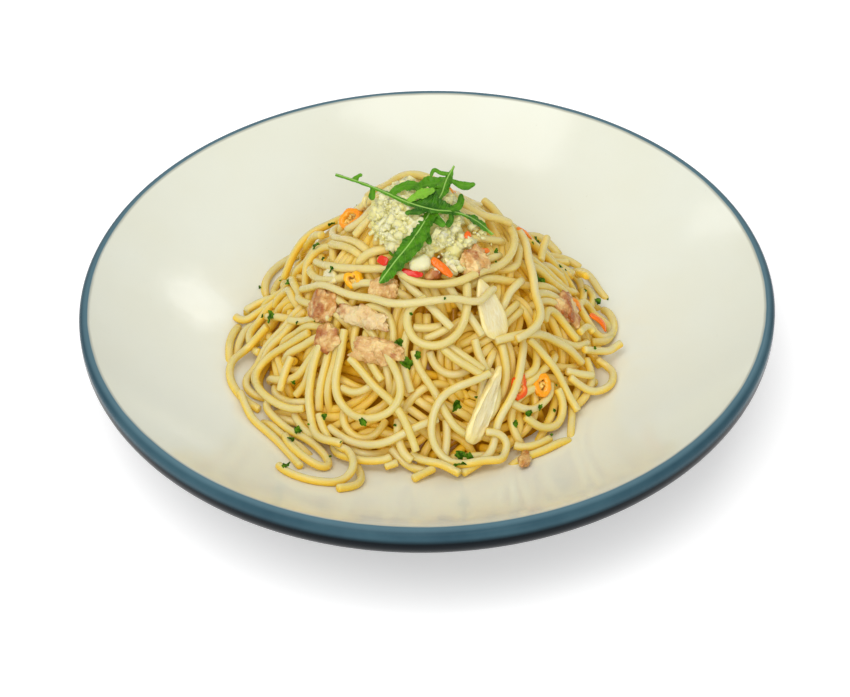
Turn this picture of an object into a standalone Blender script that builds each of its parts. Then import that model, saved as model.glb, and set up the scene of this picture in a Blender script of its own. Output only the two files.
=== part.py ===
"""Wide plate with a heap of spaghetti, garlic, chilli, browned meat, grated cheese and rocket.

Metres, +Z up. The plate stands on its foot ring at the origin and the front faces -Y. A place on
the heap is an azimuth, 0 at the front and turning to the right, with a reach, 0 at the summit and
1 at the heap's foot, where larger values run on over the dish. Lift is measured out from the core.
"""

import math

import bmesh
import bpy
import numpy as np
from mathutils import Matrix, Vector
from mathutils.bvhtree import BVHTree

MM = 0.001
SEED = 11
GAP = 0.35 * MM  # clear space between nodes that touch in the real thing

# Plate
RIM_RADIUS = 113 * MM  # circle of the lip's crest
LIP_RADIUS = 2.5 * MM  # full round of the lip
LIP_HEIGHT = 40 * MM  # centre of the lip's round
LIP_INNER_ANGLE = 128  # degrees, where the round meets the inner face
DISH_FLOOR = 10 * MM
DISH_RISE = 33.2 * MM
DISH_POWER = 2.8
WALL_DROP = 2 * MM  # straight wall under the lip
TURN_RADIUS = 8.4 * MM  # round that turns the wall under
TURN_ANGLE = 65  # degrees
FOOT_RADIUS = 57.5 * MM
FOOT_WIDTH = 6 * MM
FOOT_HEIGHT = 7.2 * MM
FOOT_ROUND = 0.9 * MM
RECESS_HEIGHT = 3.6 * MM
PLATE_SECTORS = 40

# Heap core
CORE_RADIUS = 62.5 * MM
CORE_HEIGHT = 59.5 * MM
CORE_BASE = 16 * MM
CORE_EDGE = 2.6 * MM  # thickness of the core's rim over the dish
CORE_SECTORS = 24
CORE_RINGS = 8
FLANK_POWER = 1.7
FOOT_POWER = 1.27
SUMMIT_LEAN = (-2.5 * MM, 4 * MM)
DISH_GAP = 0.5 * MM
BLEND = 3 * MM  # fillet between the heap's flank and the dish

# Noodles
NOODLE_RADIUS = 1.25 * MM
NOODLE_SIDES = 5
NOODLE_STEP = 2.2 * MM  # spacing of the places where noodles are laid
NOODLE_THIN = 2  # every second place becomes a ring
NOODLE_SEAT = 0.9 * MM  # lift of a noodle that lies on the core
NOODLE_CLIMB = 1.85  # spacing of crossing noodles, in radii
NOODLE_TOP = 3.4 * MM  # highest lift
NOODLE_SHORTEST = 4  # fewest rings of a noodle that is cut at a topping
REACH_LEAST = 0.1
REACH_FOOT = 1.05  # noodles run along the foot of the heap here
REACH_LOOSE = 1.3  # furthest place of a loose end on the dish
LOOSE_START = 0.94  # a noodle that starts this low may run out over the dish

# Noodles of the front: azimuth, reach, heading, length in mm and turn. A heading of 0 runs to the
# right and 90 downhill, and a positive turn goes from right to downhill.
FRONT_NOODLES = (
    (-84, 0.63, -32, 92, 42),
    (-17, 0.355, 32, 66, -50),
    (31, 0.425, 100, 52, 270),
    (24, 0.705, 185, 112, -350),
    (-42, 0.60, 92, 80, -215),
    (-60, 0.68, 135, 72, -160),
    (-27, 0.96, 62, 44, 135),
    (-24, 0.99, 55, 30, 70),
    (49, 0.67, 128, 64, 12),
    (50, 0.68, 62, 34, 35),
    (34, 0.625, 5, 50, 62),
    (103, 0.52, 120, 50, 60),
    (79, 0.93, 60, 42, 175),
    (31, 0.80, 82, 36, -190),
    (33, 0.87, 62, 48, -165),
    (-50, 0.63, 97, 64, -35),
    (-33, 0.67, 42, 46, 30),
    (-5, 0.61, 88, 42, -45),
    (-88, 0.84, 98, 58, -95),
    (-34, 0.90, 12, 50, -28),
    (-31, 0.95, 65, 38, -155),
    (-104, 0.60, 160, 60, -140),
)
BACK_NOODLES = 8
BACK_LENGTHS = (62, 84)
BACK_TURNS = (130, 300)
BACK_REACHES = (0.22, 0.90)
BACK_MIDDLE = 182
BACK_SPREAD = 68

# Parsley flakes, each on the noodle nearest to its place
FLAKE_PLACES = ((-100, 0.72), (-88, 0.80), (-12, 0.59), (-8, 0.645), (-36, 0.865), (-21, 0.84),
                (-43, 0.97), (-40, 1.10), (-34, 1.28), (40, 0.87), (88, 0.62), (8, 1.05),
                (150, 0.55), (200, 0.70))
FLAKE_SIZE = 2.6 * MM
FLAKE_THICKNESS = 0.9 * MM
FLAKE_CORNERS = 6

# Grated cheese
CHEESE_SECTORS = 26
CHEESE_RINGS = 4
CHEESE_FRONT = 0.285  # reach at the front
CHEESE_BACK = 0.10  # reach at the back
CHEESE_MIDDLE = -14  # azimuth of its middle
CHEESE_THICKNESS = 4.4 * MM
CHEESE_RELIEF = 0.7 * MM

# Rocket leaves
LEAF_THICKNESS = 0.7 * MM
LEAF_STATIONS = 29
LEAF_COLUMNS = 5

# Cut strips and sticks: how their sides draw in towards their ends and edges
STRIP_STATIONS = 6
STRIP_TAPER = 0.2
STRIP_END_ROUND = 0.12
STRIP_EDGE_THINNING = 0.45
STRIP_END_THINNING = 0.3

# Garlic slices
SLICE_SECTORS = 16
SLICE_RINGS = (0.0, 0.62, 1.0)
SLICE_EDGE_THINNING = 0.5

# Lumps of meat and cheese
LUMP_BLUNTNESS = 0.75  # 1 for a ball, less for blunt corners
LUMP_BUMPS = 4
LUMP_RELIEF = 0.07

# Finishes: base colour, roughness and metallic value
GLAZE = ((0.80, 0.77, 0.66), 0.12, 0.0)
PASTA = ((0.85, 0.70, 0.32), 0.30, 0.0)
PARSLEY = ((0.04, 0.12, 0.01), 0.55, 0.0)
CHEESE = ((0.90, 0.87, 0.66), 0.55, 0.0)
ROCKET = ((0.10, 0.27, 0.02), 0.45, 0.0)
GARLIC = ((0.85, 0.80, 0.62), 0.28, 0.0)
CHILLI = ((0.85, 0.20, 0.01), 0.22, 0.0)
MEAT = ((0.52, 0.24, 0.08), 0.45, 0.0)
SHARP_ANGLE = 50  # degrees, above which an edge stays sharp in smooth shading


def dish_height(radius):
    """Height of the plate's inner face at a distance from the axis."""
    return DISH_FLOOR + DISH_RISE * (np.asarray(radius) / RIM_RADIUS) ** DISH_POWER


def blend_max(first, second, width):
    """The larger of two heights, with a fillet where they meet."""
    return 0.5 * (first + second + np.sqrt((first - second) ** 2 + width**2))


def form_point(azimuth, reach, lift):
    """Points of the heap's form at azimuths in degrees, reaches and lifts, as an (n, 3) array."""
    azimuth, reach, lift = np.broadcast_arrays(
        np.radians(np.asarray(azimuth, float)), np.asarray(reach, float), np.asarray(lift, float)
    )
    inside = np.clip(reach, 0, 1)
    radius = (CORE_RADIUS + lift) * reach
    x = radius * np.sin(azimuth) + SUMMIT_LEAN[0] * (1 - inside)
    y = -radius * np.cos(azimuth) + SUMMIT_LEAN[1] * (1 - inside)
    flank = CORE_BASE + (CORE_HEIGHT + lift) * (1 - inside**FLANK_POWER) ** FOOT_POWER
    floor = dish_height(np.hypot(x, y)) + NOODLE_RADIUS + DISH_GAP + (lift - NOODLE_SEAT) * 1.1
    return np.stack([x, y, blend_max(flank, floor, BLEND)], axis=-1)


def form_frame(azimuth, reach, lift):
    """Frame on the form: columns point right, uphill and out, then the place."""
    step = 0.01
    place = form_point(azimuth, reach, lift)
    right = form_point(azimuth + 1, reach, lift) - form_point(azimuth - 1, reach, lift)
    down = form_point(azimuth, reach + step, lift) - form_point(azimuth, reach - step, lift)
    right = Vector(right).normalized()
    out = Vector(down).cross(right).normalized()
    up = out.cross(right)
    frame = Matrix((right, up, out)).transposed().to_4x4()
    frame.translation = Vector(place)
    return frame


def shade_round(mesh):
    """Smooth shading that keeps sharp edges."""
    mesh.shade_smooth()
    mesh.set_sharp_from_angle(angle=math.radians(SHARP_ANGLE))


def make_object(name, vertices, faces, finish):
    """Mesh object with its own Principled material and its faces turned out."""
    colour, roughness, metallic = finish
    mesh = bpy.data.meshes.new(name)
    mesh.from_pydata([tuple(v) for v in vertices], [], [tuple(f) for f in faces])
    shell = bmesh.new()
    shell.from_mesh(mesh)
    bmesh.ops.recalc_face_normals(shell, faces=shell.faces)
    bmesh.ops.triangulate(shell, faces=shell.faces)
    shell.to_mesh(mesh)
    shell.free()
    shade_round(mesh)
    part = bpy.data.objects.new(name, mesh)
    bpy.context.scene.collection.objects.link(part)
    material = bpy.data.materials.new(name)
    material.use_nodes = True
    surface = material.node_tree.nodes["Principled BSDF"].inputs
    surface["Base Color"].default_value = (*colour, 1)
    surface["Roughness"].default_value = roughness
    surface["Metallic"].default_value = metallic
    mesh.materials.append(material)
    return part


def tree_of(parts):
    """Search tree over the triangles of several objects."""
    vertices, faces = [], []
    for part in parts:
        first = len(vertices)
        vertices += [v.co.copy() for v in part.data.vertices]
        faces += [[first + k for k in p.vertices] for p in part.data.polygons]
    return BVHTree.FromPolygons(vertices, faces)


def clearance(tree, point):
    """Distance from a point to the nearest face, below zero inside."""
    near, normal, _, distance = tree.find_nearest(Vector(point))
    return distance if (Vector(point) - near).dot(normal) > 0 else -distance


def lathe(name, profile, sectors, finish):
    """Solid of revolution round Z; the profile's ends lie on the axis."""
    rings = profile[1:-1]
    angles = [2 * math.pi * k / sectors for k in range(sectors)]
    vertices = [(0, 0, profile[0][1])]
    vertices += [(r * math.cos(a), r * math.sin(a), z) for r, z in rings for a in angles]
    vertices.append((0, 0, profile[-1][1]))
    last = len(vertices) - 1
    faces = []
    for k in range(sectors):
        after = (k + 1) % sectors
        faces.append((0, 1 + k, 1 + after))
        faces.append((last, last - sectors + after, last - sectors + k))
        for ring in range(len(rings) - 1):
            near, far = 1 + ring * sectors, 1 + (ring + 1) * sectors
            faces.append((near + k, far + k, far + after, near + after))
    return make_object(name, vertices, faces, finish)


def sheet_solid(name, top, bottom, finish, around=False):
    """Solid between two grids of points of the same shape, both split into triangles alike.

    With `around` the columns close on themselves and the first row is a single point.
    """
    rows, columns = top.shape[:2]
    vertices = np.concatenate([top.reshape(-1, 3), bottom.reshape(-1, 3)])
    under = rows * columns

    def index(row, column):
        return 0 if around and row == 0 else row * columns + column % columns

    faces = []
    for row in range(rows - 1):
        for column in range(columns if around else columns - 1):
            a, b = index(row, column), index(row, column + 1)
            c, d = index(row + 1, column + 1), index(row + 1, column)
            for triangle in ((a, b, c), (a, c, d)):
                if len(set(triangle)) == 3:
                    faces.append(triangle)
                    faces.append(tuple(under + k for k in reversed(triangle)))
    outer = [index(rows - 1, column) for column in range(columns)]
    if not around:
        right = [index(row, columns - 1) for row in range(rows - 2, -1, -1)]
        back = [index(0, column) for column in range(columns - 2, -1, -1)]
        left = [index(row, 0) for row in range(1, rows - 1)]
        outer = outer + right + back + left
    for k, here in enumerate(outer):
        after = outer[(k + 1) % len(outer)]
        faces += [(here, after, under + after), (here, under + after, under + here)]
    used = sorted({k for face in faces for k in face})
    place = {old: new for new, old in enumerate(used)}
    return make_object(name, vertices[used], [[place[k] for k in f] for f in faces], finish)


def tube(name, points, radius, sides, finish):
    """Round bar along a path, with flat ends."""
    points = [Vector(p) for p in points]
    axes = [(points[min(k + 1, len(points) - 1)] - points[max(k - 1, 0)]).normalized()
            for k in range(len(points))]
    side = axes[0].orthogonal().normalized()
    vertices, faces = [], []
    for centre, axis in zip(points, axes):
        side = (side - axis * side.dot(axis)).normalized()
        other = axis.cross(side)
        for k in range(sides):
            angle = 2 * math.pi * k / sides
            vertices.append(centre + radius * (math.cos(angle) * side + math.sin(angle) * other))
    for ring in range(len(points) - 1):
        for k in range(sides):
            a, b = ring * sides + k, ring * sides + (k + 1) % sides
            faces.append((a, b, b + sides, a + sides))
    faces.append(tuple(range(sides)))
    faces.append(tuple(range(len(vertices) - 1, len(vertices) - sides - 1, -1)))
    return make_object(name, vertices, faces, finish)


def plate_profile():
    """Half section of the plate, from the middle of the dish round the lip to the underside."""
    turn = math.radians(LIP_INNER_ANGLE)
    join = RIM_RADIUS + LIP_RADIUS * math.cos(turn)
    profile = [(r, float(dish_height(r))) for r in np.linspace(0, join, 12)]
    for angle in np.linspace(turn, 0, 6)[1:]:
        profile.append((RIM_RADIUS + LIP_RADIUS * math.cos(angle),
                        LIP_HEIGHT + LIP_RADIUS * math.sin(angle)))
    centre = (RIM_RADIUS + LIP_RADIUS - TURN_RADIUS, LIP_HEIGHT - WALL_DROP)
    for angle in np.radians(np.linspace(0, -TURN_ANGLE, 5)):
        profile.append((centre[0] + TURN_RADIUS * math.cos(angle),
                        centre[1] + TURN_RADIUS * math.sin(angle)))
    inner = FOOT_RADIUS - FOOT_WIDTH
    profile += [(FOOT_RADIUS, FOOT_HEIGHT), (FOOT_RADIUS, FOOT_ROUND),
                (FOOT_RADIUS - FOOT_ROUND, 0), (inner + FOOT_ROUND, 0), (inner, FOOT_ROUND),
                (inner - FOOT_ROUND, RECESS_HEIGHT), (0, RECESS_HEIGHT)]
    return profile


def heap_core():
    """Smooth core of the heap, clear of the dish underneath."""
    reaches = np.linspace(0, 1, CORE_RINGS + 1)[:, None]
    azimuths = np.linspace(0, 360, CORE_SECTORS, endpoint=False)[None, :]
    top = form_point(azimuths, reaches, 0.0)
    floor = dish_height(np.hypot(top[..., 0], top[..., 1])) + DISH_GAP
    top[..., 2] = np.maximum(top[..., 2], floor + CORE_EDGE)
    bottom = np.concatenate([top[..., :2], floor[..., None]], axis=-1)
    return sheet_solid("core", top, bottom, PASTA, around=True)


def slab(name, length, width, thickness, finish, bend=0):
    """Rounded strip or cube lying in XY, bent about Y by an angle in degrees."""
    along, across = np.meshgrid(np.linspace(-1, 1, STRIP_STATIONS), (-1.0, 0.0, 1.0), indexing="ij")
    x = 0.5 * length * along * (1 - STRIP_END_ROUND * across**2)
    y = 0.5 * width * across * (1 - STRIP_TAPER * np.abs(along) ** 3)
    swell = 0.5 * thickness * (1 - STRIP_EDGE_THINNING * np.abs(across))
    swell *= 1 - STRIP_END_THINNING * along**4
    faces = []
    for side in (1, -1):
        z = side * swell
        if bend:
            radius = length / math.radians(bend)
            angle = x / radius
            faces.append(np.stack([(radius + z) * np.sin(angle), y,
                                   (radius + z) * np.cos(angle) - radius], axis=-1))
        else:
            faces.append(np.stack([x, y, z], axis=-1))
    return sheet_solid(name, faces[0], faces[1], finish)


def slice_solid(name, length, width, thickness, taper, bow, finish):
    """Cut slice of a clove: an oval, narrower at its +X end and bowed along its length."""
    around = np.linspace(0, 2 * math.pi, SLICE_SECTORS, endpoint=False)
    rings, angles = np.meshgrid(SLICE_RINGS, around, indexing="ij")
    x = 0.5 * length * rings * np.cos(angles)
    y = 0.5 * width * rings * np.sin(angles) * (1 - taper * np.cos(angles))
    level = bow * (1 - (2 * x / length) ** 2)
    swell = 0.5 * thickness * (1 - SLICE_EDGE_THINNING * rings**3)
    top = np.stack([x, y, level + swell], axis=-1)
    bottom = np.stack([x, y, level - swell], axis=-1)
    return sheet_solid(name, top, bottom, finish, around=True)


def lump(name, length, width, thickness, finish, rng):
    """Uneven piece with blunt corners."""
    shape = bmesh.new()
    bmesh.ops.create_icosphere(shape, subdivisions=2, radius=1)
    points = np.array([v.co for v in shape.verts])
    faces = [[v.index for v in f.verts] for f in shape.faces]
    shape.free()
    blunt = np.sign(points) * np.abs(points) ** LUMP_BLUNTNESS
    bumps = sum(
        np.sin(points @ rng.normal(0, 1.9, 3) + rng.uniform(0, 2 * math.pi)) for _ in range(LUMP_BUMPS)
    )
    blunt *= (1 + LUMP_RELIEF * bumps)[:, None]
    return make_object(name, blunt * np.array([length, width, thickness]) / 2, faces, finish)


def seat(part, core, place, lift, spin=0, tilt=0, pitch=0):
    """Puts a topping on the heap: turned about the outward line, leaned, and lifted clear."""
    frame = form_frame(*place, lift)
    turn = Matrix.Rotation(math.radians(spin), 4, "Z")
    turn @= Matrix.Rotation(math.radians(pitch), 4, "Y")
    turn @= Matrix.Rotation(math.radians(tilt), 4, "X")
    part.data.transform(frame @ turn)
    shortfall = max(GAP - clearance(core, v.co) for v in part.data.vertices)
    floor = max(
        GAP + float(dish_height(math.hypot(v.co.x, v.co.y))) - v.co.z for v in part.data.vertices
    )
    out = frame.to_3x3().col[2]
    part.data.transform(Matrix.Translation(out * max(0, shortfall) + Vector((0, 0, max(0, floor)))))
    return part


def spline(points, count):
    """Smooth path through a few points, evenly counted."""
    points = np.asarray(points, float)
    padded = np.concatenate([[2 * points[0] - points[1]], points, [2 * points[-1] - points[-2]]])
    where = np.linspace(0, len(points) - 1, count)
    k = np.minimum(where.astype(int), len(points) - 2)
    t = (where - k)[:, None]
    a, b, c, d = padded[k], padded[k + 1], padded[k + 2], padded[k + 3]
    return 0.5 * (2 * b + (c - a) * t + (2 * a - 5 * b + 4 * c - d) * t**2
                  + (3 * b - a - 3 * c + d) * t**3)


def leaf(name, midrib, side, stem, blade, lobes, curl):
    """Lobed leaf along a midrib in mm.

    `blade` gives the half width in mm at even stations, `lobes` adds (side, station, reach, width,
    slant towards the tip) and `curl` lifts the edges.
    """
    along = np.linspace(0, 1, LEAF_STATIONS)
    spine = spline(midrib, LEAF_STATIONS) * MM
    axis = np.gradient(spine, axis=0)
    axis /= np.linalg.norm(axis, axis=1)[:, None]
    across = np.asarray(side, float) - axis * (axis @ np.asarray(side, float))[:, None]
    across /= np.linalg.norm(across, axis=1)[:, None]
    out = np.cross(axis, across)
    out *= np.sign(out[:, 2:])
    width = np.interp(along, np.linspace(0, 1, len(blade)), blade)
    halves = {-1: stem + width, 1: stem + width}
    lean = {-1: np.zeros(LEAF_STATIONS), 1: np.zeros(LEAF_STATIONS)}
    for hand, station, reach, spread, slant in lobes:
        bump = np.exp(-(((along - station) / spread) ** 2))
        halves[hand] = halves[hand] + reach * bump
        lean[hand] = lean[hand] + slant * reach * bump
    fractions = np.linspace(-1, 1, LEAF_COLUMNS)
    grid = np.empty((LEAF_STATIONS, LEAF_COLUMNS, 3))
    for column, fraction in enumerate(fractions):
        hand = -1 if fraction < 0 else 1
        reach = (abs(fraction) * halves[hand] * MM)[:, None]
        rise = (curl * halves[hand] * MM * fraction**2)[:, None]
        wave = (0.35 * MM * fraction**2 * np.sin(19 * along + 2 * hand))[:, None]
        forward = (abs(fraction) * lean[hand] * MM)[:, None]
        grid[:, column] = spine + hand * reach * across + (rise + wave) * out + forward * axis
    rim = 0.5 * LEAF_THICKNESS * (1 - 0.3 * np.abs(fractions))[None, :, None]
    return sheet_solid(name, grid + rim * out[:, None], grid - rim * out[:, None], ROCKET)


def grated_cheese(rng):
    """Crumbly cap over the summit that comes further down the front."""
    azimuths = np.linspace(0, 360, CHEESE_SECTORS, endpoint=False)
    facing = 0.5 + 0.5 * np.cos(np.radians(azimuths - CHEESE_MIDDLE))
    edge = CHEESE_BACK + (CHEESE_FRONT - CHEESE_BACK) * facing**0.7
    edge = edge * (1 + 0.06 * rng.uniform(-1, 1, CHEESE_SECTORS))
    rings = np.linspace(0, 1, CHEESE_RINGS + 1)[:, None]
    crumbs = CHEESE_RELIEF * rng.uniform(-1, 1, (CHEESE_RINGS + 1, CHEESE_SECTORS))
    crumbs[0] = 0
    thickness = CHEESE_THICKNESS * (1 - 0.6 * rings**4) + crumbs
    top = form_point(azimuths[None, :], rings * edge[None, :], GAP + thickness)
    bottom = form_point(azimuths[None, :], rings * edge[None, :], 1.6 * GAP)
    return sheet_solid("grated_cheese", top, bottom, CHEESE, around=True)


def rocket_leaves():
    """Two rocket leaves that cross over the summit, the second one on top."""
    under = leaf(
        "rocket_leaf_1",
        ((-28.5, 4.5, 86.3), (-20, 3.6, 83.2), (-12, 1.5, 80.5), (-5, -3.2, 79.9), (3, -5.2, 78.3),
         (10, -3.2, 75.7), (16.5, -1.5, 70.7), (22, -2, 65.3)),
        (0, -0.95, -0.3), 0.7, (0, 0, 0, 0.3, 0.9, 1.8, 1.6, 0.9, 0.4, 1.0, 0.8, 0),
        ((-1, 0.105, 2.2, 0.03, 0.5), (1, 0.19, 3.2, 0.03, 0.1), (-1, 0.38, 2.8, 0.05, 0.7),
         (-1, 0.52, 2.6, 0.05, 0.7), (1, 0.48, 2.6, 0.035, -0.4), (-1, 0.75, 4.2, 0.035, 0.4),
         (1, 0.72, 3.2, 0.03, 0)),
        0.12,
    )
    over = leaf(
        "rocket_leaf_2",
        ((9.9, 7.6, 86.4), (7.3, 3.6, 83.6), (5.6, -1.9, 82.3), (2.6, -7, 80.7), (-1, -11.6, 76.9),
         (-5.2, -15.5, 72.6), (-9.8, -19, 68.6), (-14.8, -22.8, 64.9)),
        (0.86, -0.4, 0.2), 0.7, (0, 1.0, 1.4, 1.0, 0.4, 1.6, 1.6, 2.2, 2.4, 1.8, 1.4, 0.8),
        ((-1, 0.13, 6.4, 0.04, 0.25), (1, 0.11, 6.8, 0.035, 0), (1, 0.46, 4.2, 0.03, 0.2),
         (1, 0.62, 2.0, 0.04, 0.2), (-1, 0.49, 1.0, 0.03, 0.3)),
        0.12,
    )
    return [under, over]


def garlic(core):
    """Garlic slices and chips."""
    return [
        seat(slice_solid("garlic_slice_1", 20.5 * MM, 10.5 * MM, 1.8 * MM, 0.12, 0.6 * MM, GARLIC),
             core, (38.5, 0.53), 3.4 * MM, spin=80),
        seat(slice_solid("garlic_slice_2", 27 * MM, 7.6 * MM, 2.2 * MM, 0.3, 0.8 * MM, GARLIC),
             core, (20.5, 0.785), 3.7 * MM, spin=53, tilt=24),
        seat(slab("garlic_chip_1", 4.5 * MM, 3.2 * MM, 1.6 * MM, GARLIC),
             core, (-116, 0.29), 3.8 * MM, spin=80, pitch=-60),
        seat(slab("garlic_chip_2", 8 * MM, 4.6 * MM, 1.7 * MM, GARLIC),
             core, (-70, 0.495), 1.8 * MM, spin=12),
        seat(slab("garlic_chip_3", 6.2 * MM, 1.8 * MM, 1.4 * MM, GARLIC),
             core, (25.5, 0.345), 2.6 * MM, spin=112),
    ]


def browned_meat(core, rng):
    """Browned pieces of meat, set in the flank."""
    pieces = (
        (11.5, 11, 4.8, (-61, 0.575), 2.0, 0),
        (9.5, 8.5, 4.2, (-48, 0.645), 1.6, 30),
        (19, 6.4, 4, (-37, 0.535), 2.4, 9),
        (15.5, 8.5, 4.4, (-23, 0.625), 2.2, 6),
        (9.5, 7, 4.4, (-27, 0.425), 2.4, 20),
        (7.2, 7.2, 5, (43, 0.37), 2.6, 20),
        (10.5, 11, 4.6, (82, 0.735), 1.8, 35),
        (5, 3.6, 3.2, (9, 0.36), 1.8, 0),
        (9, 4, 3.2, (26.5, 1.07), 0.7, 48),
    )
    return [
        seat(lump(f"browned_meat_{k}", a * MM, b * MM, c * MM, MEAT, rng), core, place, lift * MM, spin)
        for k, (a, b, c, place, lift, spin) in enumerate(pieces, start=1)
    ]


def chilli(core):
    """Pieces of red, orange and yellow chilli: strips, sticks and part rings."""
    pieces = (
        (10, 5.6, 1.5, 70, (36.5, 0.775), 2.2, 57, 15),
        (7.6, 5.4, 1.4, 50, (45.5, 0.812), 2.0, 44, -10),
        (13, 5, 1.5, 150, (-108, 0.37), 4.0, 75, 0),
        (9, 3.4, 1.4, 120, (122, 0.2), 3.2, 20, 25),
        (8.6, 2.4, 1.3, 20, (112, 0.55), 1.9, 90, 0),
        (4, 3, 1.3, 15, (-36, 0.335), 1.6, 0, 0),
        (9, 2.4, 1.3, 30, (-9, 0.378), 3.6, -4, 0),
        (8.8, 2.8, 1.7, 10, (16.5, 0.35), 4.4, 125, 0),
        (3, 2.5, 1.3, 0, (56, 0.285), 3.4, 0, 0),
        (5, 1.8, 1.2, 0, (62, 0.36), 1.5, 150, 0),
        (6, 2.6, 1.3, 15, (93, 0.80), 1.6, 60, 0),
        (9, 3, 1.4, 60, (90, 0.885), 2.4, 80, 0),
        (4.2, 3, 1.4, 0, (-52, 0.44), 1.3, 20, 0),
    )
    return [
        seat(slab(f"chilli_{k}", a * MM, b * MM, c * MM, CHILLI, bend=bend), core, place,
             lift * MM, spin, tilt)
        for k, (a, b, c, bend, place, lift, spin, tilt) in enumerate(pieces, start=1)
    ]


def noodle_route(start, reach, heading, length, turn):
    """Azimuths and reaches of a noodle that turns evenly as it runs over the heap."""
    count = round(length / NOODLE_STEP)
    furthest = REACH_LOOSE if reach > LOOSE_START else REACH_FOOT
    azimuth = start
    route = []
    for ring in range(count + 1):
        route.append((azimuth, reach))
        bearing = math.radians(heading + turn * ring / count)
        here = form_point(azimuth, reach, 0)
        one_right = np.linalg.norm(form_point(azimuth + 1, reach, 0) - here)
        one_down = np.linalg.norm(form_point(azimuth, reach + 0.01, 0) - here) * 100
        azimuth += NOODLE_STEP * math.cos(bearing) / one_right
        reach += NOODLE_STEP * math.sin(bearing) / one_down
        reach = float(np.clip(reach, REACH_LEAST, furthest))
    return np.array(route)


def front_and_back_routes(rng):
    """Routes of all noodles: the named ones of the front, then seeded ones round the back."""
    routes = [noodle_route(a, r, h, length * MM, t) for a, r, h, length, t in FRONT_NOODLES]
    for k in range(BACK_NOODLES):
        share = (k + 0.5) / BACK_NOODLES
        azimuth = BACK_MIDDLE + BACK_SPREAD * (2 * ((k * 0.618) % 1) - 1)
        reach = BACK_REACHES[0] + (BACK_REACHES[1] - BACK_REACHES[0]) * share
        routes.append(noodle_route(azimuth, reach, rng.uniform(0, 360),
                                   rng.uniform(*BACK_LENGTHS) * MM,
                                   rng.choice((-1, 1)) * rng.uniform(*BACK_TURNS)))
    return routes


def drape(routes):
    """Paths of the noodles, each one climbing over those laid before it."""
    spacing = NOODLE_CLIMB * NOODLE_RADIUS
    laid_points, laid_lifts, paths = np.empty((0, 3)), np.empty(0), []
    for route in routes:
        ground = form_point(route[:, 0], route[:, 1], 0.0)
        lift = np.full(len(route), NOODLE_SEAT)
        if len(laid_points):
            apart = np.linalg.norm(ground[:, None] - laid_points[None], axis=2)
            over = laid_lifts[None] + np.sqrt(np.maximum(spacing**2 - apart**2, 0))
            lift = np.maximum(lift, np.where(apart < spacing, over, 0).max(axis=1))
        for _ in range(2):
            padded = np.pad(lift, 1, mode="edge")
            lift = np.maximum(lift, 0.5 * (padded[:-2] + padded[2:]))
        lift = np.minimum(lift, NOODLE_TOP)
        laid_points = np.concatenate([laid_points, ground])
        laid_lifts = np.concatenate([laid_lifts, lift])
        paths.append(form_point(route[:, 0], route[:, 1], lift))
    return paths


def clear_runs(path, toppings):
    """Stretches of a path that stay clear of the toppings."""
    limit = NOODLE_RADIUS + GAP
    runs = [[]]
    for point in path:
        if clearance(toppings, point) > limit:
            runs[-1].append(point)
        elif runs[-1]:
            runs.append([])
    return [r[::NOODLE_THIN] for r in runs if len(r) > NOODLE_SHORTEST * NOODLE_THIN]


def flake(name, frame, rng):
    """Torn flake of parsley lying in a frame."""
    angles = np.arange(FLAKE_CORNERS) * 2 * math.pi / FLAKE_CORNERS
    radii = 0.5 * FLAKE_SIZE * rng.uniform(0.75, 1.3, FLAKE_CORNERS)
    rim = np.stack([radii * np.cos(angles), 0.7 * radii * np.sin(angles), 0 * angles], axis=-1)
    rim = np.stack([0 * rim, rim])
    height = np.array([0, 0, 0.5 * FLAKE_THICKNESS])
    part = sheet_solid(name, rim + height, rim - height, PARSLEY, around=True)
    part.data.transform(frame)
    return part


def parsley(runs, toppings, rng):
    """Flakes that lie on the noodles nearest to their places."""
    centres = np.concatenate([np.array(run[1:-1]) for run in runs])
    flakes = []
    for k, place in enumerate(FLAKE_PLACES):
        wanted = form_point(*place, NOODLE_SEAT)
        centre = centres[np.argmin(np.linalg.norm(centres - wanted, axis=1))]
        frame = form_frame(*place, 0)
        frame.translation = Vector(centre) + frame.to_3x3().col[2] * NOODLE_RADIUS * 0.95
        if clearance(toppings, frame.translation) > FLAKE_SIZE:
            spin = Matrix.Rotation(rng.uniform(0, 6.3), 4, "Z")
            flakes.append(flake(f"flake_{k}", frame @ spin, rng))
    return flakes


def fuse(name, base, others):
    """Joins solids into one, drops loose scraps and fills sealed hollows."""
    group = bpy.data.collections.new(name)
    bpy.context.scene.collection.children.link(group)
    for other in others:
        group.objects.link(other)
    union = base.modifiers.new("union", "BOOLEAN")
    union.operation = "UNION"
    union.operand_type = "COLLECTION"
    union.collection = group
    union.solver = "MANIFOLD"
    with bpy.context.temp_override(object=base, active_object=base):
        bpy.ops.object.modifier_apply(modifier=union.name)
    for other in others:
        bpy.data.objects.remove(other)
    bpy.data.collections.remove(group)
    base.name = name
    keep_largest_shell(base)
    shade_round(base.data)
    return base


def keep_largest_shell(part):
    """Keeps the one connected skin that encloses the most."""
    shape = bmesh.new()
    shape.from_mesh(part.data)
    bmesh.ops.triangulate(shape, faces=shape.faces)
    waiting = set(shape.faces)
    shells = []
    while waiting:
        stack = [waiting.pop()]
        shell = list(stack)
        while stack:
            for edge in stack.pop().edges:
                for face in edge.link_faces:
                    if face in waiting:
                        waiting.remove(face)
                        stack.append(face)
                        shell.append(face)
        shells.append(shell)

    def volume(shell):
        return sum(f.verts[0].co.dot(f.verts[1].co.cross(f.verts[2].co)) for f in shell)

    shells.sort(key=volume)
    spare = [face for shell in shells[:-1] for face in shell]
    bmesh.ops.delete(shape, geom=spare, context="FACES")
    shape.to_mesh(part.data)
    shape.free()


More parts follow.
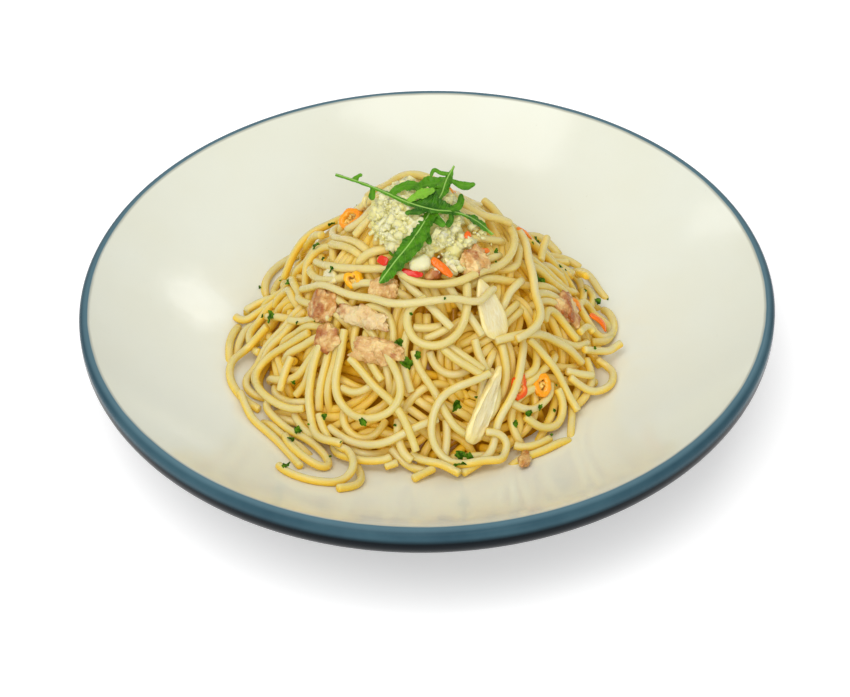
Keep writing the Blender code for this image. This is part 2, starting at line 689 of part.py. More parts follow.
def build():
    for part in list(bpy.data.objects):
        bpy.data.objects.remove(part)
    rng = np.random.default_rng(SEED)
    lathe("plate", plate_profile(), PLATE_SECTORS, GLAZE)
    core = heap_core()
    core_tree = tree_of([core])
    chunk = seat(lump("cheese_chunk", 6.6 * MM, 5.4 * MM, 4.6 * MM, CHEESE, rng), core_tree,
                 (0, 0.33), 5.0 * MM)
    toppings = [grated_cheese(rng), chunk, *rocket_leaves(), *garlic(core_tree),
                *browned_meat(core_tree, rng), *chilli(core_tree)]
    topping_tree = tree_of(toppings)
    runs = [run for path in drape(front_and_back_routes(rng)) for run in clear_runs(path, topping_tree)]
    noodles = [tube(f"noodle_{k}", run, NOODLE_RADIUS, NOODLE_SIDES, PASTA) for k, run in enumerate(runs)]
    fuse("spaghetti", core, noodles + parsley(runs, topping_tree, rng))


build()
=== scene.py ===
# A wide plate with a heap of spaghetti, garlic, chilli, browned meat, grated cheese and rocket: the look of
# the dish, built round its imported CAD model. The maths is in millimetres and the meshes are in metres, +Z
# is up and the front faces -Y. A place on the heap is an azimuth in degrees, 0 at the front and turning to
# the right, and a reach, 0 at the summit and 1 at the heap's foot; past 1 it runs out over the dish.
import math

import bpy
import numpy as np
from mathutils import Matrix, Vector


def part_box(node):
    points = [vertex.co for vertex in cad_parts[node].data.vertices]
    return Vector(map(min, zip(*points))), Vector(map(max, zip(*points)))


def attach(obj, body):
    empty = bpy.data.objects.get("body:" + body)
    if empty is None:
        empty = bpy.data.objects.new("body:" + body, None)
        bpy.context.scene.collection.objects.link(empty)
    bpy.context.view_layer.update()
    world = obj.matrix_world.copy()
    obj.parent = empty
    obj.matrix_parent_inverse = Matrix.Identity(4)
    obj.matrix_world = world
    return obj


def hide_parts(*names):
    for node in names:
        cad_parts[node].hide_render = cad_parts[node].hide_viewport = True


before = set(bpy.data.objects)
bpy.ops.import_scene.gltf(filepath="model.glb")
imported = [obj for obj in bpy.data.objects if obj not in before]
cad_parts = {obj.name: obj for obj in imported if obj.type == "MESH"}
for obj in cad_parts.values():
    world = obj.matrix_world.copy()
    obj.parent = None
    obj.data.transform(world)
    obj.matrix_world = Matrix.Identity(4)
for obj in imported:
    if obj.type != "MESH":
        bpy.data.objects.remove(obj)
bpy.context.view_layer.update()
mm = 0.001
seed = 4


def makePiece(name, points, faces, material, marks=None, replaced=(), slot=None):
    # points is (n, 3) in millimetres, faces a list of index arrays with 3 or 4 columns, and marks holds
    # named values for every point
    mesh = bpy.data.meshes.new(name)
    points = np.asarray(points, float).reshape(-1, 3) * mm
    faces = [np.asarray(f, int) for f in faces if len(f)]
    corners = np.concatenate([f.ravel() for f in faces])
    totals = np.concatenate([np.full(len(f), f.shape[1]) for f in faces])
    mesh.vertices.add(len(points))
    mesh.vertices.foreach_set("co", points.ravel())
    mesh.loops.add(len(corners))
    mesh.loops.foreach_set("vertex_index", corners)
    mesh.polygons.add(len(totals))
    mesh.polygons.foreach_set("loop_start", np.cumsum(totals) - totals)
    mesh.polygons.foreach_set("loop_total", totals)
    mesh.polygons.foreach_set("use_smooth", np.ones(len(totals), bool))
    mesh.update(calc_edges=True)
    for mark, values in (marks or {}).items():
        values = np.asarray(values, np.float32)
        kind, field = ("FLOAT", "value") if values.ndim == 1 else ("FLOAT_VECTOR", "vector")
        mesh.attributes.new(mark, kind, "POINT").data.foreach_set(field, values.ravel())
    mesh.materials.append(material)
    piece = bpy.data.objects.new(name, mesh)
    bpy.context.scene.collection.objects.link(piece)
    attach(piece, "root")
    if replaced:
        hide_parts(*replaced)
    return piece


def gridFaces(rows, columns, aroundRows=False, aroundColumns=False):
    # quads of a grid of points: corner (i, j), (i+1, j), (i+1, j+1), (i, j+1)
    i = np.arange(rows if aroundRows else rows - 1)[:, None]
    j = np.arange(columns if aroundColumns else columns - 1)[None, :]
    i, j = np.broadcast_arrays(i, j)
    after, beside = (i + 1) % rows, (j + 1) % columns
    quads = [i * columns + j, after * columns + j, after * columns + beside, i * columns + beside]
    return np.stack(quads, axis=-1).reshape(-1, 4)


def closedRings(rings, poles):
    # points and faces of rings of points, joined round every ring and closed by a pole at either end
    rows, columns = rings.shape[:2]
    count, k = rows * columns, np.arange(columns)
    after, last = (k + 1) % columns, count - columns
    caps = np.concatenate([np.stack([np.full(columns, count), k, after], axis=1),
                           np.stack([np.full(columns, count + 1), last + after, last + k], axis=1)])
    points = np.concatenate([rings.reshape(-1, 3), poles])
    return points, [gridFaces(rows, columns, aroundColumns=True), caps]


def joined(parts):
    # several (points, [quads, triangles]) as one
    starts = np.cumsum([0] + [len(points) for points, _ in parts])
    faces = [np.concatenate([f[k] + start for (_, f), start in zip(parts, starts)]) for k in range(2)]
    return np.concatenate([points for points, _ in parts]), faces


def dress(node, points, faces, material, marks, slot):
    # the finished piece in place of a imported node, named after it
    makePiece(node.replace("_", "") + "Fine", points, faces, material, marks, [node], slot)


def unit(vectors):
    # the same directions at length 1
    return vectors / np.maximum(np.linalg.norm(vectors, axis=-1, keepdims=True), 1e-12)


def ripple(points, rng, waves, size):
    # soft noise: the mean of sines that run in random directions, size is about the width of one bump
    total = np.zeros(points.shape[:-1])
    for _ in range(waves):
        run = unit(rng.normal(size=3)) * 2 * math.pi / (size * rng.uniform(0.7, 1.6))
        total = total + np.sin(points @ run + rng.uniform(0, 2 * math.pi))
    return total / math.sqrt(waves)


def spline(points, count):
    # Catmull-Rom curve through a few points: count places, even in the number of the point
    points = np.asarray(points, float)
    padded = np.concatenate([[2 * points[0] - points[1]], points, [2 * points[-1] - points[-2]]])
    where = np.linspace(0, len(points) - 1, count)
    k = np.minimum(where.astype(int), len(points) - 2)
    t = (where - k)[:, None]
    a, b, c, d = padded[k], padded[k + 1], padded[k + 2], padded[k + 3]
    return 0.5 * (2 * b + (c - a) * t + (2 * a - 5 * b + 4 * c - d) * t**2 + (3 * b - a - 3 * c + d) * t**3)


def travelled(path):
    # length gone along a path at each of its places
    return np.concatenate([[0], np.cumsum(np.linalg.norm(np.diff(path, axis=0), axis=1))])


def evenly(path, step, *others):
    # the same path with its places step apart, and other values carried along with it
    gone = travelled(path)
    where = np.linspace(0, gone[-1], max(4, int(gone[-1] / step) + 1))
    carried = [np.stack([np.interp(where, gone, v[:, k]) for k in range(v.shape[1])], axis=1)
               for v in (path, *others)]
    return carried[0] if not others else carried


class Wire:
    # one shader value; + - * / ** with it, or with a number in front of it, adds a Math node
    def __init__(self, paint, socket):
        self.paint, self.socket = paint, socket

    def does(self, operation, first, second):
        return self.paint.add("ShaderNodeMath", {"operation": operation}, {0: first, 1: second})

    def __add__(self, other):
        return self.does("ADD", self, other)

    def __sub__(self, other):
        return self.does("SUBTRACT", self, other)

    def __rsub__(self, other):
        return self.does("SUBTRACT", other, self)

    def __mul__(self, other):
        return self.does("MULTIPLY", self, other)

    def __truediv__(self, other):
        return self.does("DIVIDE", self, other)

    def __pow__(self, other):
        return self.does("POWER", self, other)

    __radd__ = __add__
    __rmul__ = __mul__


class Paint:
    # a material and its Principled BSDF
    def __init__(self, name):
        self.material = bpy.data.materials.new(name)
        self.material.use_nodes = True
        self.tree = self.material.node_tree
        self.surface = self.tree.nodes["Principled BSDF"]
        self.place = self.add("ShaderNodeTexCoord", out="Object")

    def axis(self, number):
        # x, y or z of the place, in mm
        return self.add("ShaderNodeSeparateXYZ", None, {0: self.place}, out=number) / mm

    def add(self, kind, settings=None, values=None, out=0):
        # any node: its settings come first, a ramp's stops among them, then its sockets' values or links
        node = self.tree.nodes.new(kind)
        for name, value in (settings or {}).items():
            if name == "stops":
                for k, (where, colour) in enumerate(value):
                    stop = node.color_ramp.elements[k] if k < 2 else node.color_ramp.elements.new(where)
                    stop.position, stop.color = where, colour
            else:
                setattr(node, name, value)
        for name, value in (values or {}).items():
            self.put(node.inputs[name], value)
        return Wire(self, node.outputs[out])

    def put(self, socket, value):
        if isinstance(value, Wire):
            self.tree.links.new(value.socket, socket)
        else:
            socket.default_value = value

    def noise(self, scale, detail, place=None, distortion=0.0):
        return self.add("ShaderNodeTexNoise", None, {
            "Vector": place or self.place, "Scale": scale, "Detail": detail, "Roughness": 0.55,
            "Distortion": distortion})

    def mark(self, name, out="Fac"):
        return self.add("ShaderNodeAttribute", {"attribute_name": name}, out=out)

    def step(self, value, low, high, first=0.0, last=1.0):
        # smooth ramp: first below low, last above high
        return self.add("ShaderNodeMapRange", {"interpolation_type": "SMOOTHSTEP"}, {
            "Value": value, "From Min": low, "From Max": high, "To Min": first, "To Max": last})

    def clouds(self, scale, detail, low, high, first=0.0, last=1.0):
        return self.step(self.noise(scale, detail), low, high, first, last)

    def mix(self, share, first, second):
        return self.add("ShaderNodeMix", {"data_type": "RGBA"}, {0: share, 6: first, 7: second}, out=2)

    def bump(self, height, distance, strength):
        return self.add("ShaderNodeBump", None,
                        {"Height": height, "Distance": distance, "Strength": strength})

    def finish(self, soft=None, coat=None, **values):
        # soft: weight, radius and scale of the light inside; coat: weight and roughness of the wet film
        values.update(zip(("Subsurface_Weight", "Subsurface_Radius", "Subsurface_Scale"), soft or ()))
        values.update(zip(("Coat_Weight", "Coat_Roughness"), coat or ()))
        for name, value in values.items():
            self.put(self.surface.inputs[name.replace("_", " ")], value)
        return self.material


def shade(red, green, blue):
    # a display colour of 0 to 255 as a linear colour with full alpha
    def linear(c):
        c = c / 255
        return c / 12.92 if c <= 0.04045 else ((c + 0.055) / 1.055) ** 2.4
    return (linear(red), linear(green), linear(blue), 1.0)


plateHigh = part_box("plate")[1]
plate = {
    "outer": plateHigh.x / mm,  # outermost radius, at the side of the lip
    "lip": 2.5,  # round of the lip
    "lipHeight": 40.0,  # centre of that round
    "floor": 10.0,
    "rise": 33.2,
    "power": 2.8,
    "wallDrop": 2.0,
    "turn": 8.4,  # round that turns the wall under
    "turnAngle": 65,
    "foot": 57.5,
    "footWidth": 6.0,
    "footHeight": 7.2,
    "recess": 3.6,
    "blueFrom": 112.3,  # radius where the blue glaze starts on the lip
    "sectors": 256,
}
plate["rim"] = plate["outer"] - plate["lip"]


def dishHeight(radius):
    # floor + rise * (radius / rim) ^ power
    return plate["floor"] + plate["rise"] * (np.asarray(radius) / plate["rim"]) ** plate["power"]


def arc(centre, radius, first, last, count):
    # places on a circle from the first angle to the last, in degrees
    angles = np.radians(np.linspace(first, last, count))
    return np.stack([centre[0] + radius * np.cos(angles), centre[1] + radius * np.sin(angles)], axis=1)


def rounded(corners, radius, count=5):
    # a run of corners with each inner one replaced by a small curve
    corners = np.asarray(corners, float)
    rows = [corners[:1]]
    for before, here, after in zip(corners[:-2], corners[1:-1], corners[2:]):
        start = here + (before - here) / np.linalg.norm(before - here) * radius
        end = here + (after - here) / np.linalg.norm(after - here) * radius
        t = np.linspace(0, 1, count)[:, None]
        rows.append((1 - t) ** 2 * start + 2 * t * (1 - t) * here + t**2 * end)
    return np.concatenate(rows + [corners[-1:]])


def plateSection():
    # half section from the middle of the dish over the lip and round under the foot
    lipCentre = (plate["rim"], plate["lipHeight"])
    join = plate["rim"] + plate["lip"] * math.cos(math.radians(128))
    radii = np.linspace(0, join, 60)
    inner = np.stack([radii, dishHeight(radii)], axis=1)
    lip = arc(lipCentre, plate["lip"], 124, 0, 18)
    turnCentre = (plate["outer"] - plate["turn"], plate["lipHeight"] - plate["wallDrop"])
    under = arc(turnCentre, plate["turn"], 0, -plate["turnAngle"], 14)
    foot, inside = plate["foot"], plate["foot"] - plate["footWidth"]
    base = rounded([under[-1], (foot, plate["footHeight"]), (foot, 0.02), (inside, 0.02),
                    (inside - 0.9, plate["recess"]), (0, plate["recess"])], 0.9)
    cone = np.linspace(under[-1], base[1], 16)[1:-1]
    floor = np.linspace(base[-2], base[-1], 14)[1:]
    return np.concatenate([inner, lip, under, cone, base[1:-1], floor])


def turned(section, sectors):
    # section carried round Z; its first and last points are poles
    angles = np.linspace(0, 2 * math.pi, sectors, endpoint=False)
    radii, heights = section[1:-1, :1], section[1:-1, 1:]
    rings = np.stack([radii * np.cos(angles), radii * np.sin(angles), np.repeat(heights, sectors, axis=1)],
                     axis=-1)
    return closedRings(rings, [[0, 0, section[0, 1]], [0, 0, section[-1, 1]]])


def glazeMaterial():
    # cream inside and blue outside, with a painted highlight along the top of the lip and painted
    # near-black shade on the outer wall below it; a thin dark line where the blue glaze breaks over the
    # lip, faint speckles, oil smeared round the heap, and bare clay under the foot
    p = Paint("stonewareGlaze")
    x, y, z = (p.axis(k) for k in range(3))
    radius = (x * x + y * y) ** 0.5 + (p.noise(60, 2) - 0.5) * 0.5
    blueMask = p.step(radius, plate["blueFrom"] - 0.25, plate["blueFrom"] + 0.35)
    # painted shade mask: the outer wall below the lip and the dish's underside
    below = p.step(z, 37.6, 40.2, 1.0, 0.0)
    above = z - (radius / plate["rim"]) ** plate["power"] * plate["rise"] - plate["floor"]
    inside = p.step(above, -0.9, -0.5)
    outsideMask = p.add("ShaderNodeMath", {"operation": "MAXIMUM"}, {0: blueMask, 1: 1 - inside})
    cloud = p.noise(14, 3)
    cream = p.mix(p.step(cloud, 0.3, 0.75), shade(232, 235, 222), shade(229, 230, 212))
    speck = p.clouds(900, 1, 0.76, 0.82)
    cream = p.mix(speck * 0.12, cream, shade(170, 150, 110))
    blue = p.mix(p.clouds(35, 4, 0.3, 0.7), shade(46, 74, 86), shade(60, 90, 101))
    # painted highlight: the blue is lighter along the top of the lip
    blue = p.mix(p.step(z, 41.8, 43.2), blue, shade(108, 142, 154))
    # painted shade: near black on the outer wall below the lip and under the dish
    blue = p.mix(below, blue, shade(4, 13, 19))
    line = p.step(radius, plate["blueFrom"] - 0.9, plate["blueFrom"] - 0.1) * (1 - blueMask)
    cream = p.mix(line * 0.6, cream, shade(132, 134, 118))
    clay = p.step(z, 0.5, 0.9, 1.0, 0.0)
    blue = p.mix(clay, blue, shade(205, 190, 165))
    oil = p.step(radius, 62, 92, 1.0, 0.0) * p.step(p.noise(42, 4, distortion=0.6), 0.47, 0.62) * inside
    cream = p.mix(oil * 0.14, cream, shade(238, 226, 186))
    gloss = p.clouds(220, 3, 0.35, 0.75, 0.13, 0.19) - oil * 0.03
    relief = p.bump(p.noise(75, 2) * 0.6 + p.noise(1300, 1) * 0.05 + oil * 0.08, 0.0004, 0.35)
    outside = p.add("ShaderNodeBsdfPrincipled", None, {
        "Base Color": blue, "Roughness": gloss + clay * 0.6 + 0.06, "Normal": relief, "IOR": 1.25,
        "Specular IOR Level": 0.2})
    both = p.add("ShaderNodeMixShader", None,
                 {0: outsideMask, 1: Wire(p, p.surface.outputs[0]), 2: outside})
    p.put(p.tree.nodes["Material Output"].inputs["Surface"], both)
    return p.finish(Base_Color=cream, Roughness=gloss, IOR=1.5, Normal=relief)


platePoints, plateFaces = turned(plateSection(), plate["sectors"])
makePiece("glazedPlate", platePoints, plateFaces, glazeMaterial(), replaced=["plate"], slot="stoneware")
print("plate made")


heap = {
    "radius": 64.0,
    "height": 61.2,
    "base": 16.0,
    "flankPower": 1.7,
    "footPower": 1.25,
    "leanX": -2.5,
    "leanY": 4.0,
    "fillet": 3.0,
    "unroll": 0.72,  # radius over slant, of the cone that the flank nearly is
    "slant": 89,  # from the summit to the foot along the flank
    "cell": 0.7,  # of the top view in which the strands are piled, and half the view's width
    "half": 96.0,
}
strand = {
    "radius": 1.38,
    "sides": 12,
    "ring": 1.1,  # spacing of the rings along a strand
    "crossing": 0.9,  # share of two radii kept between strands that cross
    "droop": 0.06,  # how fast a strand sinks beside what carries it, per millimetre
    "frontDroop": 0.022,
    "beside": 2.72,  # spacing of strands that run side by side
    "deepest": -7.2,  # lift of the lowest layer
    "clear": 0.1,  # left between it and the dish
    "tuck": 2.4,  # how far most ends dive between other strands
    "tuckLength": 6.0,
    "tucked": 0.8,  # share of ends that dive
    "tries": 40,  # candidates for each place
    "bundle": 3,  # most strands side by side
    "bends": (1 / 24, 1 / 17, 1 / 7),  # usual steady and wavering curvature, and the tightest
    "highest": 5.5,  # most lift of a named strand
    "under": -2.1,  # most lift of what runs under a named strand, and how far beside it that holds
    "underWidth": 1.8,
    "free": 99.0,  # a lift above everything
    "endReach": (0.42, 0.3),  # the two last rings, past the end of a strand, and their share of its size
    "endSize": (0.6, 0.88),
}


def places(azimuth, reach):
    # top view of a place: radius * reach from an axis that leans towards the summit
    azimuth = np.radians(azimuth)
    left = 1 - np.clip(reach, 0, 1)
    x = heap["radius"] * reach * np.sin(azimuth) + heap["leanX"] * left
    y = -heap["radius"] * reach * np.cos(azimuth) + heap["leanY"] * left
    return x, y


def reachOf(x, y):
    # the reach whose leaning circle passes through x, y
    a, b = x - heap["leanX"], y - heap["leanY"]
    k = a * heap["leanX"] + b * heap["leanY"]
    spare = heap["radius"] ** 2 - heap["leanX"] ** 2 - heap["leanY"] ** 2
    inside = (k + np.sqrt(k**2 + spare * (a**2 + b**2))) / spare
    return np.where(inside < 1, inside, np.hypot(x, y) / heap["radius"])


def skinHeight(x, y):
    # base + height * (1 - reach^flankPower)^footPower, with a fillet onto the dish
    reach = np.clip(reachOf(x, y), 0, 1)
    flank = heap["base"] + heap["height"] * (1 - reach ** heap["flankPower"]) ** heap["footPower"]
    floor = dishHeight(np.hypot(x, y)) + strand["radius"] + 0.2
    return 0.5 * (flank + floor + np.sqrt((flank - floor) ** 2 + heap["fillet"] ** 2))


def skin(x, y):
    # points of the heap's skin and their outward directions
    step = 0.4
    height = skinHeight(x, y)
    slopeX = (skinHeight(x + step, y) - skinHeight(x - step, y)) / (2 * step)
    slopeY = (skinHeight(x, y + step) - skinHeight(x, y - step)) / (2 * step)
    upright = np.ones_like(height)
    return np.stack([x, y, height], axis=-1), unit(np.stack([-slopeX, -slopeY, upright], axis=-1))


class Pile:
    # what has been laid so far: at each cell of a top view, the least lift that a new strand's middle needs
    def __init__(self):
        self.cell, self.half = heap["cell"], heap["half"]
        axis = np.arange(-self.half, self.half + self.cell, self.cell)
        x, y = np.meshgrid(axis, axis, indexing="ij")
        self.ground, out = skin(x, y)
        dish = dishHeight(np.hypot(x, y)) + strand["radius"] + strand["clear"]
        self.need = np.maximum(strand["deepest"], (dish - self.ground[..., 2]) / out[..., 2])
        self.cap = np.full(self.need.shape, strand["free"])

    def read(self, grid, x, y):
        # value of a grid at places, between its four nearest cells
        u = np.clip((x + self.half) / self.cell, 0, len(grid) - 1.001)
        v = np.clip((y + self.half) / self.cell, 0, len(grid) - 1.001)
        i, j = u.astype(int), v.astype(int)
        u, v = u - i, v - j
        return ((1 - u) * (1 - v) * grid[i, j] + u * (1 - v) * grid[i + 1, j]
                + (1 - u) * v * grid[i, j + 1] + u * v * grid[i + 1, j + 1])

    def around(self, x, y, width):
        # indices of the cells round each place, one row per place
        span = int(math.ceil(width / self.cell))
        i = np.rint((x + self.half) / self.cell).astype(int)[:, None, None]
        j = np.rint((y + self.half) / self.cell).astype(int)[:, None, None]
        shift = np.arange(-span, span + 1)
        i, j = np.broadcast_arrays(i + shift[:, None], j + shift[None, :])
        return (np.clip(i, 0, len(self.need) - 1).reshape(len(x), -1),
                np.clip(j, 0, len(self.need) - 1).reshape(len(x), -1))

    def lay(self, x, y, lift):
        # need = lift + sqrt(apart^2 - distance^2) round each place of the new strand
        apart = 2 * strand["radius"] * strand["crossing"]
        i, j = self.around(x, y, apart)
        here, _ = skin(x, y)
        distance = ((self.ground[i, j] - here[:, None]) ** 2).sum(axis=-1)
        over = lift[:, None] + np.sqrt(np.maximum(apart**2 - distance, 0))
        near = distance < apart**2
        np.maximum.at(self.need, (i[near], j[near]), over[near])

    def limit(self, x, y, width, lift):
        # strands stay below lift within width of the places
        i, j = self.around(x, y, width)
        here, _ = skin(x, y)
        near = ((self.ground[i, j] - here[:, None]) ** 2).sum(axis=-1) < width**2
        lift = np.broadcast_to(np.asarray(lift, float).reshape(-1, 1), near.shape)
        np.minimum.at(self.cap, (i[near], j[near]), lift[near])


def smoothed(values, passes):
    # repeated mean of each value with its neighbours, 1/4 + 1/2 + 1/4; the ends stay
    values = np.array(values, float)
    for _ in range(passes):
        values[1:-1] = 0.25 * values[:-2] + 0.5 * values[1:-1] + 0.25 * values[2:]
    return values


def settle(gone, need, droop, passes=3):
    # lift_i = max over j of need_j - droop * (distance along the strand)^2, then smoothed
    lift = (need[None, :] - droop * (gone[:, None] - gone[None, :]) ** 2).max(axis=1)
    return smoothed(lift, passes)


def shifted(x, y, distance):
    # a route moved sideways on the skin, by distance along (direction of travel) x (outward direction)
    ground, out = skin(x, y)
    side = unit(np.cross(unit(np.gradient(ground, axis=0)), out))
    moved = smoothed(ground + distance * side, 2)
    return moved[:, 0], moved[:, 1]


def wander(rng, count, length, reaches):
    # smooth random routes on the unrolled cone: the heading is the running sum of a slow curvature
    steps = int(length / strand["ring"])
    gone = np.arange(steps) * strand["ring"]
    start = rng.uniform(-180, 180, count)
    slant = np.sqrt(rng.uniform(reaches[0] ** 2, reaches[1] ** 2, count)) * heap["slant"]
    steady, wavering, tightest = strand["bends"]
    bend = rng.normal(0, steady, count)[:, None] + rng.normal(0, wavering, count)[:, None] * np.sin(
        2 * math.pi * gone / rng.uniform(34, 90, count)[:, None] + rng.uniform(0, 6.3, count)[:, None])
    heading = rng.uniform(0, 2 * math.pi, count)[:, None] + np.cumsum(
        np.clip(bend, -tightest, tightest) * strand["ring"], axis=1)
    across = np.cumsum(np.cos(heading), axis=1) * strand["ring"]
    down = slant[:, None] + np.cumsum(np.sin(heading), axis=1) * strand["ring"]
    reach = np.hypot(across, down) / heap["slant"]
    azimuth = start[:, None] + np.degrees(np.arctan2(across, down)) / heap["unroll"]
    return azimuth, reach


def longestRun(good):
    # first and last index of the longest run of True
    edges = np.flatnonzero(np.diff(np.concatenate([[0], good.astype(int), [0]])))
    if not len(edges):
        return 0, 0
    best = np.argmax(edges[1::2] - edges[::2])
    return edges[2 * best], edges[2 * best + 1]


def tucked(gone, lift, rng):
    # most ends dive by tuck * (1 - distance to the end / tuckLength)^2
    for distance in (gone - gone[0], gone[-1] - gone):
        if rng.uniform() < strand["tucked"]:
            lift = lift - strand["tuck"] * np.clip(1 - distance / strand["tuckLength"], 0, 1) ** 2
    return lift


def fill(pile, rng, count, cap, lengths, reaches, least):
    # lays strands one after another, each the candidate that fills the deepest hollows under cap
    laid, tries = [], strand["tries"]
    for _ in range(count):
        azimuth, reach = wander(rng, tries, rng.uniform(*lengths), reaches)
        x, y = places(azimuth, reach)
        need = pile.read(pile.need, x, y)
        top = np.minimum(cap, pile.read(pile.cap, x, y))
        good = (need < top) & (reach > 0.05) & (reach < reaches[2])
        worth = np.where(good, np.minimum(top - need, 4) + 0.3, 0)
        best, chosen = 0, None
        for k in range(tries):
            first, last = longestRun(good[k])
            value = worth[k, first:last].sum()
            if last - first > least and value > best:
                best, chosen = value, (k, first, last)
        if chosen is None:
            continue
        k, first, last = chosen
        lead = (x[k, first:last], y[k, first:last])
        laid.append(layOne(pile, *lead, need[k, first:last], rng))
        # a few more beside it where there is room, so that strands run in bundles
        hand = rng.choice((-1, 1))
        for place in range(1, rng.integers(1, strand["bundle"] + 1)):
            xs, ys = shifted(*lead, hand * place * strand["beside"])
            need2 = pile.read(pile.need, xs, ys)
            reach2 = reachOf(xs, ys)
            good2 = (need2 < np.minimum(cap, pile.read(pile.cap, xs, ys)) + 0.5) & (reach2 > 0.06) & (
                reach2 < reaches[2])
            first, last = longestRun(good2)
            if last - first > least:
                laid.append(layOne(pile, xs[first:last], ys[first:last], need2[first:last], rng))
    return laid


def layOne(pile, x, y, need, rng):
    # a strand that rests on what it needs to clear, now part of the pile
    gone = np.arange(len(x)) * strand["ring"]
    lift = settle(gone, need, strand["droop"])
    pile.lay(x, y, lift)
    return x, y, tucked(gone, lift, rng)


